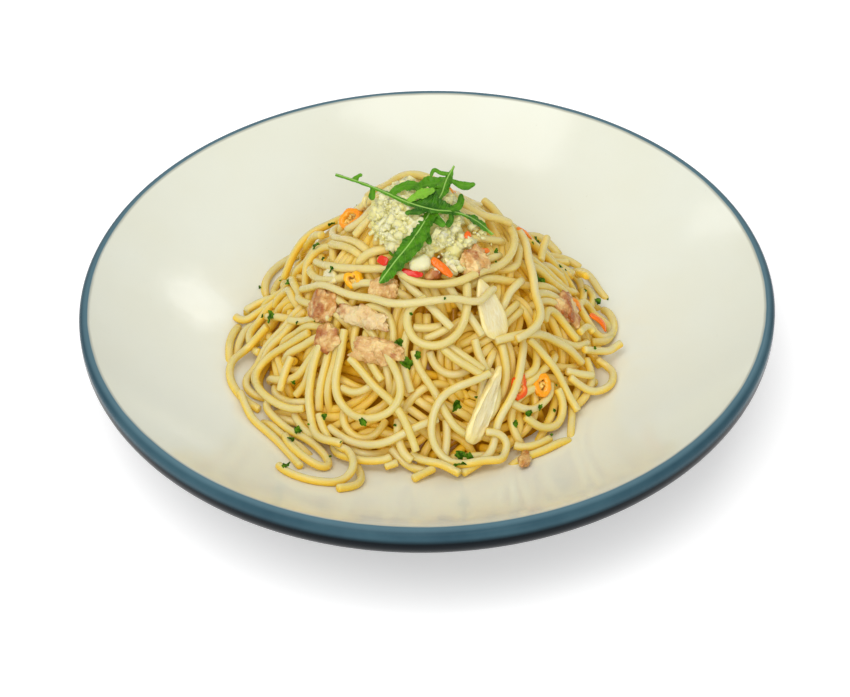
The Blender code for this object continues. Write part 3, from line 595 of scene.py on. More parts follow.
# strands that lie on top of the front, as (azimuth, reach in percent, rise above what carries it in mm),
# the ones that are covered by others first
frontStrands = (
    ((6.5, 82), (6.3, 86), (5.5, 90), (4.5, 93)),
    ((-88, 84), (-87, 92), (-84, 100), (-79, 106), (-72, 107), (-65, 105), (-60, 101)),
    ((-66, 107), (-57, 108.5), (-49, 108), (-43, 110), (-37.5, 114), (-33, 119)),
    ((-34, 76.5), (-30, 77), (-26, 76), (-22.5, 73)),
    ((-12, 91), (-10, 93.5), (-7, 96), (-3.5, 98.5), (-0.5, 98.3)),
    ((-10, 96.5), (-11.5, 98), (-13, 99.5)),
    ((0.7, 100), (-2, 103.5), (-4.5, 107)),
    ((-5.5, 92.5), (-2, 95), (1.5, 98.5), (4.5, 103), (7.5, 107)),
    ((-10.5, 82), (-10.5, 85), (-9, 90), (-7.5, 93), (-5.5, 95.5)),
    ((-22, 100), (-19.5, 105.5), (-18, 111), (-17.3, 117), (-18, 123), (-20.5, 129)),
    ((-34, 89.5), (-24.5, 91.6), (-15, 90), (-7, 85), (0, 82), (3, 81.5)),
    ((-31, 95), (-28, 99), (-23, 101.5), (-18, 101), (-14, 98.5), (-12, 94.5)),
    ((-59, 93), (-59, 97), (-56.5, 100), (-51, 99.5), (-40, 98), (-35.5, 99.3), (-31, 102.5), (-28, 107),
     (-27.5, 112), (-31, 115), (-36, 113.5), (-41, 109.5), (-44, 106)),
    ((-36, 127.5), (-34, 129.5), (-30, 130), (-25.5, 127.5), (-21.5, 122), (-20, 116), (-20.5, 109.5),
     (-23, 103), (-26, 98), (-29, 94)),
    ((-33, 67), (-28.5, 68.5), (-24, 71), (-19.5, 73.5), (-15, 75), (-12.5, 76.5), (-10, 78.5), (-8, 80.5),
     (-6.5, 84), (-4.5, 88.5), (-4, 91)),
    ((-42, 60), (-40, 66), (-38.5, 70), (-36.5, 75), (-34, 79.5), (-30, 82), (-25, 83.2), (-19, 82.5),
     (-14, 80.5), (-10.8, 77.5), (-9.2, 74), (-9.5, 70.5), (-12, 67), (-15.5, 64), (-19, 62)),
    ((-38.5, 87), (-36, 90), (-32.5, 93)),
    ((-50, 63), (-49.5, 68), (-48.5, 73), (-47.5, 78), (-45.5, 83), (-42.5, 87.5), (-39, 91.5), (-35, 94.5),
     (-30.5, 96.8), (-27, 98.5)),
    ((-60, 68), (-64, 72), (-67.5, 76.5), (-71, 81.5), (-73, 86), (-73, 90), (-71, 92.8), (-67, 93.8),
     (-62, 93.5), (-56.5, 92.5), (-50, 91), (-45, 88)),
    ((-61, 78), (-59, 83), (-57, 88)),
    ((-5, 53.5), (2, 54), (9, 53.5)),
    ((1, 57), (7, 56), (12, 54.5)),
    ((19, 41), (22, 46), (26, 52), (28.5, 59)),
    ((24.5, 60), (24, 64), (25, 69.5)),
    ((10, 58.8), (14, 61.5), (18.5, 65), (23, 69)),
    ((8.5, 60.5), (13, 64.5), (18, 67.5), (22, 71)),
    ((-5, 61), (-4.5, 63.5), (-3, 66), (0, 69.5), (3.2, 73), (5, 77), (7, 81), (9, 84.5), (12, 87),
     (15, 88.5)),
    ((31, 81.5), (33, 84), (38.5, 87), (43, 86.5), (48.5, 86), (50.5, 83.5)),
    ((34, 87.5), (35.5, 90.5), (38, 93.5), (42, 95.5), (46.5, 94.5), (49.5, 91.5), (50.5, 88.5),
     (50.5, 86)),
    ((27, 95), (29, 98.5), (34, 99.5), (38, 98.5)),
    ((49, 67), (43.5, 71), (38, 75), (33, 78.5), (28.5, 81.5), (25, 84), (22.5, 87.5), (21, 91), (18.5, 95),
     (15.5, 98.7), (12, 101.5), (9, 104)),
    ((24, 70.5), (17.5, 71.5), (11.5, 72), (6.5, 73.8), (4, 76), (1.8, 79.5), (1, 83), (0.8, 87), (2, 90.5),
     (4, 94), (6.5, 98.5), (8.5, 103), (12, 103.5), (15, 102), (18.5, 104), (21, 103), (22, 99), (24, 94.5),
     (24, 91), (21.5, 88), (18.8, 87.5)),
    ((49, 67.5), (51, 71), (52.5, 76), (53.3, 81), (53.7, 86), (53.3, 91), (52.3, 96)),
    ((59, 84), (62, 88), (65.5, 91.5)),
    ((77, 93), (76.5, 97.5), (73.5, 100.5), (69, 102), (64.5, 101), (61.5, 96.5), (59.5, 91), (57.5, 86)),
    ((64.5, 67.5), (69.5, 66.3), (73, 67.8), (75.5, 72), (74.5, 77), (74, 81.5)),
    ((77, 81), (82.5, 83), (85, 85.5), (83, 86.5)),
    ((72, 85), (76, 89, 0.5), (80, 95.5, 2), (83.5, 103, 3)),
    ((34, 62.5), (41, 63.5), (49, 65.5), (56, 69.5), (62, 74.5), (66, 80), (68.5, 87)),
    ((112, 52), (100, 52), (90, 52.5), (81, 54), (73, 57), (67, 60), (61, 63), (54, 64.8), (47, 65),
     (41, 64.5)),
    ((100, 62), (106, 62.5, 2), (112, 64, 6)),
    ((118, 92), (111, 84, 2), (105, 82, 4)),
    ((-128, 82), (-124, 76, 1), (-120, 68, 1.5), (-117, 60, 1), (-112, 54)),
    ((-112, 80), (-118, 72, 1), (-124, 66, 1.5), (-131, 62, 1), (-140, 60)),
    ((-16, 36.5), (-8, 40.7), (0, 43.8), (7, 49), (13.5, 54.3)),
    ((31, 42.5), (28, 46), (24.5, 50.5), (20, 54.5), (14, 57.8), (6, 59.6), (-1.5, 58.8), (-6.5, 56.3),
     (-9, 52.5), (-9, 49), (-5, 46), (2, 44.5)),
    ((-17, 35.5), (-9, 38), (2, 39.5), (14, 40.3), (26, 41), (36, 40.5), (47, 41), (58, 43), (70, 45),
     (85, 45.5), (100, 46), (118, 46), (135, 45)),
    ((-84, 63), (-70, 54), (-60, 51), (-46, 49), (-30, 46.5), (-20, 47), (-10, 46.5), (5, 45.5), (20, 46),
     (31, 49.5), (42, 47.5), (46, 48)),
    ((-84, 34), (-92, 22), (-120, 12), (-180, 8.5), (-235, 12), (-262, 20), (-270, 32)),
    ((-112, 36), (-122, 24), (-160, 16), (-205, 16), (-238, 24), (-250, 38)),
    ((-72, 26), (-90, 13), (-130, 6), (-240, 6), (-270, 16), (-285, 30)),
    ((-140, 40), (-155, 22), (-190, 12), (-242, 15), (-260, 27), (-256, 44)),
)


gapStrands = (  # low strands that close an open place of the front
    ((-12, 72), (-7, 74), (-2, 76.5), (4, 80)),
    ((-14, 75.5), (-9, 77.3), (-4, 79.8), (2, 83.5)),
    ((-14, 79.2), (-9, 81), (-4, 83.4), (1, 87)),
)


layers = (  # bundles, most lift, lengths, reaches of their starts and the farthest, fewest rings
    (70, -4.7, (60, 110), (0.1, 1.0, 0.99), 18),
    (110, -2.2, (70, 120), (0.1, 1.0, 1.01), 18),
    (110, 0.3, (70, 130), (0.12, 1.0, 1.03), 18),
    (60, 0.9, (60, 120), (0.5, 1.0, 1.05), 14),
)


def routeOf(points):
    # even places of a named strand, with its rise
    rows = np.array([(*p, 0.0) if len(p) == 2 else p for p in points], float)
    fine = spline(rows, 24 * len(rows))
    x, y = places(fine[:, 0], fine[:, 1] / 100)
    path, _ = skin(x, y)
    path, rest = evenly(path, strand["ring"], fine)
    path = smoothed(path, 6)
    return path[:, 0], path[:, 1], rest[:, 2]


def layFront(pile, routes):
    # the named strands: stiffer, resting on the pile, with their own rise on top
    laid = []
    for x, y, rise in routes:
        gone = np.arange(len(x)) * strand["ring"]
        need = pile.read(pile.need, x, y)
        lift = np.minimum(settle(gone, need, strand["frontDroop"], 7), strand["highest"])
        pile.lay(x, y, lift)
        laid.append((x, y, lift + np.maximum(rise, 0)))
    return laid


def strandMesh(name, laid, material, rng, replaced=()):
    # rings of a circle whose size wavers, carried along every strand, with blunt cut ends
    sides = strand["sides"]
    angles = np.linspace(0, 2 * math.pi, sides, endpoint=False)
    endReach = np.array(strand["endReach"])[:, None]
    shells, tones, trails, depths, tops = [], [], [], [], []
    for number, (x, y, lift) in enumerate(laid):
        ground, out = skin(x, y)
        path = smoothed(ground + lift[:, None] * out, 3)
        ahead = unit(np.gradient(path, axis=0))
        path = np.concatenate([path[:1] - endReach * ahead[:1], path,
                               path[-1:] + endReach[::-1] * ahead[-1:]])
        pick = np.r_[0, 0, 0:len(ahead), len(ahead) - 1, len(ahead) - 1]
        ahead, out, depth = ahead[pick], out[pick], lift[pick]
        side = unit(np.cross(ahead, out))
        other = np.cross(side, ahead)
        along = np.arange(len(path)) * strand["ring"]
        size = strand["radius"] * rng.uniform(0.94, 1.04) * (
            1 + 0.025 * np.sin(along / rng.uniform(4, 9) + rng.uniform(0, 6)))
        size[[0, -1]] *= strand["endSize"][0]
        size[[1, -2]] *= strand["endSize"][1]
        circle = (np.cos(angles)[None, :, None] * side[:, None]
                  + np.sin(angles)[None, :, None] * other[:, None])
        shells.append(closedRings(path[:, None] + size[:, None, None] * circle, path[[0, -1]]))
        tones.append(np.full(len(shells[-1][0]), rng.uniform(0, 1)))
        waver = np.stack([np.repeat(along, sides) * 0.1, np.tile(np.cos(angles), len(path)) + 7.3 * number,
                          np.tile(np.sin(angles), len(path))], axis=1)
        trails += [waver, waver[:1], waver[-1:]]
        # lift and top carry each point's depth in the heap and how far it faces out of it; the material
        # paints shade and highlight from them
        depths.append(np.concatenate([np.repeat(depth, sides), depth[:1], depth[-1:]]))
        tops.append(np.concatenate([np.tile(np.sin(angles), len(path)), [0, 0]]))
    marks = {"tone": tones, "trail": trails, "lift": depths, "top": tops}
    makePiece(name, *joined(shells), material,
              {mark: np.concatenate(values) for mark, values in marks.items()}, replaced, "pasta")


def pastaMaterial():
    # cream along a strand's top, painted golden shade round its sides and underside and in the lower
    # layers, dark brown painted shade in the lowest layer; faint streaks along it, floury specks, a film of
    # oil, and an emitted painted glow, strongest low down, as if light came through
    p = Paint("cookedSpaghetti")
    tone, trail, lift, top = p.mark("tone"), p.mark("trail", "Vector"), p.mark("lift"), p.mark("top")
    streak = p.noise(2.2, 4, place=trail)
    cloud = p.noise(120, 3)
    pale = p.mix(p.step(streak, 0.35, 0.7), shade(211, 202, 155), shade(211, 197, 126))
    warm = p.mix(tone, shade(211, 203, 156), shade(210, 192, 112))
    colour = p.mix(0.5, pale, warm)
    plain = 1 - p.step(p.axis(2), 40, 64) * 0.7  # the strands round the summit are pale all round
    # painted shade: golden in the lower layers, where light reaches only through and between the strands
    # above
    middle = p.step(lift + (cloud - 0.5) * 2, -4.5, 0.2, 1.0, 0.0)
    colour = p.mix(middle * 0.6, colour, shade(234, 192, 38))
    # painted shade: a strand's sides turn golden while its outward-facing top stays cream, less so round
    # the summit
    sides = p.step(top + (streak - 0.5) * 0.5, 0.3, 1.0, 1.0, 0.0)
    colour = p.mix(sides * 0.66 * plain, colour, shade(232, 196, 40))
    # painted shade: golden again on a strand's underside
    under = p.step(top, -0.5, 0.45, 1.0, 0.0)
    # painted shade: deeper gold in the lowest layers
    deepShade = p.step(lift + (cloud - 0.5) * 3, -7.2, -3.4, 1.0, 0.0)
    colour = p.mix(deepShade * 0.8, colour, shade(234, 186, 14))
    colour = p.mix(under * 0.72 * plain, colour, shade(234, 182, 6))
    speck = p.clouds(1500, 2, 0.66, 0.74)
    colour = p.mix(speck * 0.3, colour, shade(238, 232, 206))
    # painted shade: dark brown in the lowest layer and on the heart sheet beneath it
    pitShade = p.step(lift, strand["deepest"] + 0.3, strand["deepest"] + 0.9, 1.0, 0.0)
    colour = p.mix(pitShade * 0.75, colour, shade(150, 92, 0))
    # painted light: an emitted golden glow over all the pasta, strongest in the lower layers and weak in
    # the deepest
    paintedGlow = p.mix(deepShade, (0.048, 0.031, 0.003, 1), (0.095, 0.052, 0, 1))
    paintedGlow = p.mix(pitShade, paintedGlow, (0.035, 0.014, 0, 1))
    gloss = p.clouds(500, 3, 0.3, 0.75, 0.16, 0.34)
    relief = p.noise(5, 3, place=trail) * 0.4 + p.noise(1800, 3) * 0.3 + p.noise(420, 2) * 0.35
    return p.finish(Base_Color=colour, Roughness=gloss, IOR=1.36, Specular_IOR_Level=0.26,
                    soft=(0.4, (1.0, 0.75, 0.12), 0.0014), coat=(0.3, 0.08),
                    Emission_Color=paintedGlow, Emission_Strength=1.0,
                    Normal=p.bump(relief, 0.0001, 0.45))


rng = np.random.default_rng(seed)
pile = Pile()
routes = [routeOf(points) for points in frontStrands]
for x, y, _ in routes:
    pile.limit(x, y, strand["underWidth"], strand["under"])
laidFill = []
for layer in layers:
    laidFill += fill(pile, rng, *layer)
laidGap = []
for x, y, _ in map(routeOf, gapStrands):
    need = np.minimum(pile.read(pile.need, x, y), pile.read(pile.cap, x, y))
    need = np.minimum(need, strand["under"])
    laidGap.append(layOne(pile, x, y, need, np.random.default_rng(len(laidGap))))
laidFront = layFront(pile, routes)
print("strands laid:", len(laidFill), "and", len(laidFront))

pasta = pastaMaterial()
half = len(laidFill) // 2
strandMesh("spaghettiInside", laidFill[:half], pasta, rng)
strandMesh("spaghettiOutside", laidFill[half:], pasta, rng)
strandMesh("spaghettiFront", laidFront, pasta, rng, replaced=["spaghetti"])
strandMesh("spaghettiGap", laidGap, pasta, np.random.default_rng(seed))
print("strands made")


heart = {
    "reach": 0.94,
    "lumps": 0.35,
    "clear": 0.15,  # left open above the dish
    "thin": 0.02,  # least thickness, at its edge
}


def heartMesh(material):
    # a sheet that shows between the strands as painted deep shade: the skin sunk by the lowest layer's
    # lift, closed underneath
    azimuth, reach = np.meshgrid(np.linspace(0, 360, 144, endpoint=False),
                                 np.linspace(0, heart["reach"], 61)[1:])
    x, y = places(azimuth, reach)
    ground, out = skin(x, y)
    sunk = strand["deepest"] - strand["radius"] + heart["lumps"] * ripple(ground, rng, 6, 3.0)
    top = ground + sunk[..., None] * out
    floor = dishHeight(np.hypot(top[..., 0], top[..., 1])) + heart["clear"]
    top[..., 2] = np.maximum(top[..., 2], floor + heart["thin"])
    bottom = np.stack([top[..., 0], top[..., 1], floor], axis=-1)[::-1]
    axis = [heap["leanX"], heap["leanY"]]
    middle = float(dishHeight(heap["leanY"])) + heart["clear"]
    points, faces = closedRings(np.concatenate([top, bottom]),
                                [[*axis, top[0, :, 2].mean()], [*axis, middle]])
    each = np.ones(len(points))
    # marked as the lowest layer, so that the pasta material gives it that layer's dark brown painted shade
    marks = {"lift": each * strand["deepest"], "tone": each * 0.5, "top": each * 0, "trail": points * 0.4}
    makePiece("spaghettiHeartShade", points, faces, material, marks, slot="pasta")


def ball(rows, columns):
    # directions of a globe's crossings with two poles, and its faces
    polar, around = np.meshgrid(np.linspace(0, math.pi, rows + 2)[1:-1],
                                np.linspace(0, 2 * math.pi, columns, endpoint=False), indexing="ij")
    globe = np.stack([np.sin(polar) * np.cos(around), np.sin(polar) * np.sin(around), np.cos(polar)],
                     axis=-1)
    return closedRings(globe, [[0, 0, 1], [0, 0, -1]])


def blunt(points, power):
    # a globe pushed towards a box: sign(x) * |x|^power on each axis
    return np.sign(points) * np.abs(points) ** power


def frameAt(azimuth, reach):
    # place on the skin and its directions right, uphill and out, as rows
    x, y = places(azimuth, reach)
    here, out = skin(np.array([x]), np.array([y]))
    x, y = places(azimuth + 1, reach)
    beside, _ = skin(np.array([x]), np.array([y]))
    right = unit(beside[0] - here[0])
    right = unit(right - out[0] * (right @ out[0]))
    return here[0], np.stack([right, np.cross(out[0], right), out[0]])


def turn(axis, angle):
    # rotation about an axis by degrees
    return np.array(Matrix.Rotation(math.radians(angle), 3, axis))


nudges = {  # mm right, uphill and out from the middle of the node's box, where a strand would hide it
    "chilli_7": (0, 1.6, 1.4),
    "chilli_6": (0.5, 0.5, 0.5),
    "browned_meat_6": (1.0, 0, 0.4),
    "chilli_4": (0.5, 1.5, 1.4),
    "chilli_5": (-1.5, 1.0, 2.4),
}


def seated(points, spot, spin=0, tilt=0, pitch=0, lift=0.0, node=None):
    # points laid at a place of the heap and turned about the outward line; with a node, moved to its box
    here, axes = frameAt(*spot)
    spun = points @ (turn("Z", spin) @ turn("Y", pitch) @ turn("X", tilt)).T
    placed = here + spun @ axes + lift * axes[2]
    if node:
        low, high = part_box(node)
        middle = np.array(low + high) / 2 / mm
        placed = placed + middle - (placed.min(axis=0) + placed.max(axis=0)) / 2 + lift * axes[2]
        placed = placed + np.array(nudges.get(node, (0, 0, 0))) @ axes
    return placed


def garlicMaterial():
    # ivory flesh with faint fibres along the slice, yellower towards its rim, wet, with soft light inside
    p = Paint("friedGarlic")
    fibre = p.noise(3, 4, place=p.mark("grain", "Vector"))
    colour = p.mix(p.step(fibre, 0.3, 0.7), shade(234, 226, 190), shade(228, 214, 160))
    colour = p.mix(p.step(p.mark("rim"), 0.55, 1.0) * 0.6, colour, shade(238, 216, 124))
    colour = p.mix(p.clouds(260, 3, 0.55, 0.75) * 0.3, colour, shade(226, 200, 130))
    return p.finish(Base_Color=colour, Roughness=p.clouds(700, 2, 0.3, 0.7, 0.14, 0.3), IOR=1.42,
                    soft=(0.5, (1.0, 0.85, 0.5), 0.0022), coat=(0.5, 0.08),
                    Normal=p.bump(fibre + p.noise(900, 3) * 0.6, 0.0001, 0.3))


def slicePoints(length, width, thickness, taper, bow, ridge, rng, rows=40, columns=96):
    # half length * cos, half width * sin * (1 - taper * cos), rounded at the edge, bowed along its length,
    # with a ridge along the middle and a raised rim
    points, faces = ball(rows, columns)
    flat = np.hypot(points[:, 0], points[:, 1])
    spread = flat ** 0.35
    cosine, sine = points[:, 0] / np.maximum(flat, 1e-9), points[:, 1] / np.maximum(flat, 1e-9)
    x = 0.5 * length * spread * np.sign(cosine) * np.abs(cosine) ** 0.9
    y = 0.5 * width * spread * np.sign(sine) * np.abs(sine) ** 0.9 * (1 - taper * cosine)
    z = 0.5 * thickness * np.sign(points[:, 2]) * np.abs(points[:, 2]) ** 0.5
    upper = points[:, 2] > 0
    rim = np.exp(-(((spread - 0.82) / 0.09) ** 2))
    z = z + upper * ridge * (np.exp(-((y / (0.13 * width)) ** 2)) + rim)
    shape = np.stack([x, y, z], axis=1)
    shape[:, 2] += bow * (1 - (2 * x / length) ** 2) + 0.14 * ripple(shape, rng, 5, 5)
    shape[:, :2] *= 1 + 0.02 * ripple(shape, rng, 5, 4)[:, None]
    return shape, faces, spread


garlic = {  # length, width, thickness, taper, bow, ridge, place, spin, tilt, pitch
    "garlic_slice_1": (20.5, 8.9, 1.5, 0.42, 0.6, 0.12, (38.5, 0.53), 80, 0, 0),
    "garlic_slice_2": (27, 6.6, 1.9, 0.5, 0.8, 0.3, (20.5, 0.785), 53, 24, 0),
    "garlic_chip_1": (4.5, 3.2, 1.6, 0.1, 0, 0, (-116, 0.29), 80, 0, -60),
    "garlic_chip_2": (8, 4.6, 1.7, 0.1, 0.2, 0.1, (-70, 0.495), 12, 0, 0),
    "garlic_chip_3": (6.2, 1.8, 1.4, 0, 0, 0, (25.5, 0.345), 112, 0, 0),
}


def makeGarlic():
    material = garlicMaterial()
    for node, (*sizes, spot, spin, tilt, pitch) in garlic.items():
        shape, faces, rim = slicePoints(*sizes, rng)
        grain = shape * np.array([0.12, 0.7, 0.5])
        dress(node, seated(shape, spot, spin, tilt, pitch, node=node), faces, material,
              {"grain": grain, "rim": rim}, "garlic")


def meatMaterial():
    # pale cooked meat, tan where it is browned and darker on its edges; fat is pale and wet, lean crumbly
    p = Paint("brownedMeat")
    crust, fat = p.mark("crust"), p.mark("fat")
    patch = p.noise(230, 5, distortion=0.6)
    colour = p.mix(p.step(patch, 0.34, 0.66), shade(236, 206, 142), shade(202, 142, 68))
    colour = p.mix(p.step(fat + (patch - 0.5) * 1.6, 0.35, 0.8), colour, shade(230, 208, 156))
    brown = p.step(crust + (p.noise(420, 4) - 0.5) * 1.5, 0.3, 1.0)
    colour = p.mix(brown, colour, shade(172, 96, 40))
    colour = p.mix(p.step(crust + (p.noise(300, 4) - 0.5) * 1.5, 0.95, 1.35), colour, shade(136, 66, 28))
    grain = p.noise(1300, 4) + p.noise(420, 4) * 1.4
    return p.finish(Base_Color=colour, Roughness=p.clouds(600, 3, 0.35, 0.7, 0.2, 0.46), IOR=1.42,
                    Specular_IOR_Level=0.35, soft=(0.3, (1.0, 0.65, 0.25), 0.0012),
                    coat=(0.35, 0.1), Normal=p.bump(grain, 0.0005, 0.8))


meat = {  # length, width, thickness, place, spin, crust 0 pale to 1 dark, fat 0 lean to 1 all fat
    "browned_meat_1": (11.5, 11, 4.8, (-61, 0.575), 0, 0.62, 0.0),
    "browned_meat_2": (9.5, 8.5, 4.2, (-48, 0.645), 30, 0.5, 0.25),
    "browned_meat_3": (19, 6.4, 4, (-37, 0.535), 9, 0.38, 0.65),
    "browned_meat_4": (15.5, 8.5, 4.4, (-23, 0.625), 6, 0.28, 0.35),
    "browned_meat_5": (9.5, 7, 4.4, (-27, 0.425), 20, 0.2, 0.3),
    "browned_meat_6": (10.5, 9.4, 5, (43, 0.37), 20, 0.4, 0.15),
    "browned_meat_7": (10.5, 11, 4.6, (82, 0.735), 35, 0.6, 0.1),
    "browned_meat_8": (5, 3.6, 3.2, (9, 0.36), 0, 0.6, 0.0),
    "browned_meat_9": (9, 4, 3.2, (26.5, 1.07), 48, 0.5, 0.0),
}


def makeMeat():
    # a blunt globe with coarse bumps and clefts, and finer ones that make it crumbly
    material = meatMaterial()
    for node, (length, width, thickness, spot, spin, crust, fat) in meat.items():
        directions, faces = ball(72, 104)
        shape = blunt(directions, 0.92) * np.array([length, width, thickness]) / 2
        swell = 0.14 * ripple(shape, rng, 4, 6.5) + 0.10 * ripple(shape, rng, 5, 3.0)
        swell = swell - 0.10 * np.abs(ripple(shape, rng, 4, 4.0)) + 0.045 * ripple(shape, rng, 8, 1.3)
        shape = shape * (1.1 + swell[:, None])
        dark = crust + 0.3 * ripple(shape, rng, 5, 6) + 0.6 * swell
        dress(node, seated(shape, spot, spin, node=node), faces, material,
              {"crust": dark, "fat": np.full(len(shape), fat)}, "meat")


def chilliMaterial():
    # glossy skin outside and paler flesh inside; each piece has its own ripeness
    p = Paint("chilli")
    ripe, flesh = p.mark("ripe"), p.mark("flesh")
    skin = p.add("ShaderNodeValToRGB", {"stops": (
        (0.0, shade(246, 196, 20)), (1.0, shade(218, 40, 24)), (0.45, shade(248, 140, 8)),
        (0.75, shade(238, 84, 10)))}, {0: ripe + (p.noise(260, 3) - 0.5) * 0.25})
    inner = p.mix(p.clouds(520, 3, 0.35, 0.7), shade(252, 186, 60), shade(250, 206, 110))
    colour = p.mix(p.step(flesh, 0.2, 0.9) * 0.6, skin, p.mix(p.step(ripe, 0.5, 1.0) * 0.6, inner, skin))
    return p.finish(Base_Color=colour, Roughness=p.clouds(500, 2, 0.3, 0.7, 0.12, 0.26), IOR=1.4,
                    soft=(0.3, (1.0, 0.4, 0.05), 0.001), coat=(0.3, 0.08),
                    Normal=p.bump(p.noise(420, 3), 0.0003, 0.4))


def seedMaterial():
    # pale yellow seeds, a little darker in patches
    p = Paint("chilliSeed")
    colour = p.mix(p.clouds(900, 2, 0.35, 0.65), shade(244, 214, 120), shade(232, 188, 84))
    return p.finish(Base_Color=colour, Roughness=p.clouds(600, 2, 0.3, 0.7, 0.25, 0.45),
                    Normal=p.bump(p.noise(1800, 2), 0.0002, 0.4))


chilli = {
    "strips": {  # length, width, thickness, bend, place, spin, tilt, ripeness 0 yellow to 1 red
        "chilli_5": (8.6, 2.4, 1.3, 20, (112, 0.55), 90, 0, 0.5),
        "chilli_6": (4, 3, 1.3, 15, (-36, 0.335), 0, 0, 0.95),
        "chilli_7": (9, 2.4, 1.3, 30, (-9, 0.378), -4, 0, 1.0),
        "chilli_8": (8.8, 2.8, 1.7, 10, (16.5, 0.35), 125, 0, 0.6),
        "chilli_9": (3, 2.5, 1.3, 0, (56, 0.285), 0, 0, 0.65),
        "chilli_10": (5, 1.8, 1.2, 0, (62, 0.36), 150, 0, 0.55),
        "chilli_11": (6, 2.6, 1.3, 15, (93, 0.80), 60, 0, 0.4),
        "chilli_12": (9, 3, 1.4, 60, (90, 0.885), 80, 0, 0.6),
    },
    "rings": {  # long and short diameter, height, wall, place, spin, tilt, pitch, ripeness
        "chilli_1": (9.6, 6.6, 2.6, 2.3, (36.5, 0.775), 57, 18, 0, 0.74),
        "chilli_2": (8.2, 6.2, 2.2, 2.2, (45.5, 0.812), 44, -10, 0, 0.3),
        "chilli_3": (9.2, 7.8, 4.0, 2.1, (-108, 0.37), 75, 30, 10, 0.36),
        "chilli_4": (7.4, 6.0, 2.8, 2.0, (122, 0.2), 20, 25, 0, 0.34),
        "chilli_13": (6.8, 5.6, 2.4, 1.9, (-52, 0.44), 20, 10, 0, 0.14),
    },
    "seeds": 7,  # in each ring
    "seedSize": (1.1, 0.85, 0.35),  # half of each measure
}


def ringPoints(long, short, height, wall, rng, around=72, sides=20):
    # an oval tube: the section is a blunt box, wall wide and height high, carried round the oval
    angle, turnOf = np.meshgrid(np.linspace(0, 2 * math.pi, around, endpoint=False),
                                np.linspace(0, 2 * math.pi, sides, endpoint=False), indexing="ij")
    section = blunt(np.stack([np.cos(turnOf), np.sin(turnOf)]), 0.7)
    inwards = 0.5 * wall * (section[0] - 1)
    x = (0.5 * long + inwards) * np.cos(angle)
    y = (0.5 * short + inwards) * np.sin(angle)
    shape = np.stack([x, y, 0.5 * height * section[1]], axis=-1)
    away = unit(shape * np.array([1, 1, 0]))
    swell = 0.35 * ripple(away * 3, rng, 4, 3) + 0.10 * ripple(shape, rng, 6, 1.4)
    shape = shape + away * swell[..., None]
    shape[..., 2] += 0.4 * ripple(away * 3, rng, 4, 5)
    return shape.reshape(-1, 3), [gridFaces(around, sides, True, True)], -section[0].ravel()


def makeChilli():
    material, seeds = chilliMaterial(), seedMaterial()
    for node, (length, width, thickness, bend, spot, spin, tilt, ripe) in chilli["strips"].items():
        # a strip with a rounded section, drawn in at its ends, bent about Y by an angle, and crinkled
        directions, faces = ball(40, 40)
        along, across, up = blunt(directions, 0.5).T
        x = 0.5 * length * along
        y = 0.5 * width * across * (1 - 0.22 * np.abs(along) ** 3)
        z = 0.5 * thickness * up * (1 - 0.35 * np.abs(across) ** 2) * (1 - 0.3 * along**4)
        shape = np.stack([x, y, z], axis=1)
        swell = 0.16 * ripple(shape, rng, 5, 3.2) + 0.05 * ripple(shape, rng, 6, 1.2)
        shape += unit(directions) * swell[:, None]
        if bend:
            radius = length / math.radians(bend)
            angle = shape[:, 0] / radius
            shape = np.stack([(radius + shape[:, 2]) * np.sin(angle), shape[:, 1],
                              (radius + shape[:, 2]) * np.cos(angle) - radius], axis=1)
        dress(node, seated(shape, spot, spin, tilt, node=node), faces, material,
              {"ripe": np.full(len(shape), ripe), "flesh": -up}, "chilli")
    for node, (long, short, height, wall, spot, spin, tilt, pitch, ripe) in chilli["rings"].items():
        shape, faces, flesh = ringPoints(long, short, height, wall, rng)
        globe, seedFaces = ball(8, 14)
        number = chilli["seeds"]
        angle = rng.uniform(0, 2 * math.pi, number)
        reach = rng.uniform(0.1, 0.75, number)
        middle = np.stack([(0.5 * long - wall) * reach * np.cos(angle),
                           (0.5 * short - wall) * reach * np.sin(angle),
                           rng.uniform(-0.3, 0.25, number) * height], axis=1)
        axes = np.linalg.qr(rng.normal(size=(number, 3, 3)))[0]
        grains = middle[:, None] + (globe * np.array(chilli["seedSize"])) @ axes
        both = np.concatenate([shape, grains.reshape(-1, 3)])
        placed = seated(both, spot, spin, tilt, pitch, node=node)
        dress(node, placed[:len(shape)], faces, material,
              {"ripe": np.full(len(shape), ripe), "flesh": flesh}, "chilli")
        grains = placed[len(shape):].reshape(number, -1, 3)
        points, faces = joined([(grain, seedFaces) for grain in grains])
        outwards(makePiece(node.replace("_", "") + "Seeds", points, faces, seeds, slot="chilli"))


cheese = {
    "front": 0.29,  # reach of its edge at the front
    "back": 0.03,
    "middle": -8,  # azimuth of its middle
    "thickness": 3.0,
    "crumbs": 820,
    "crumbSize": (1.1, 4.4),
    "loose": 90,  # crumbs to the right of the mound, at these azimuths and reaches
    "looseAzimuth": (10, 80),
    "looseReach": (0.2, 0.38),
    "lump": (7.0, 5.2, 4.6),
    "lumpPlace": (-2, 0.325),
    "bed": 0.5,  # height of its underside above the skin, and how far the closing sheet lies below the skin
    "sunk": 1.6,
    "tuck": 0.8,  # how far its edge dives
    "clearRib": 4.6,  # no crumb so near a leaf's midrib or a lobe's line, unless it lies this far below it
    "clearLobe": 2.9,
    "below": 1.8,
}


def cheeseEdge(azimuth):
    # back + (front - back) * facing^0.7, where facing is 1 towards the middle azimuth
    facing = 0.5 + 0.5 * np.cos(np.radians(azimuth - cheese["middle"]))
    return cheese["back"] + (cheese["front"] - cheese["back"]) * facing ** 0.7


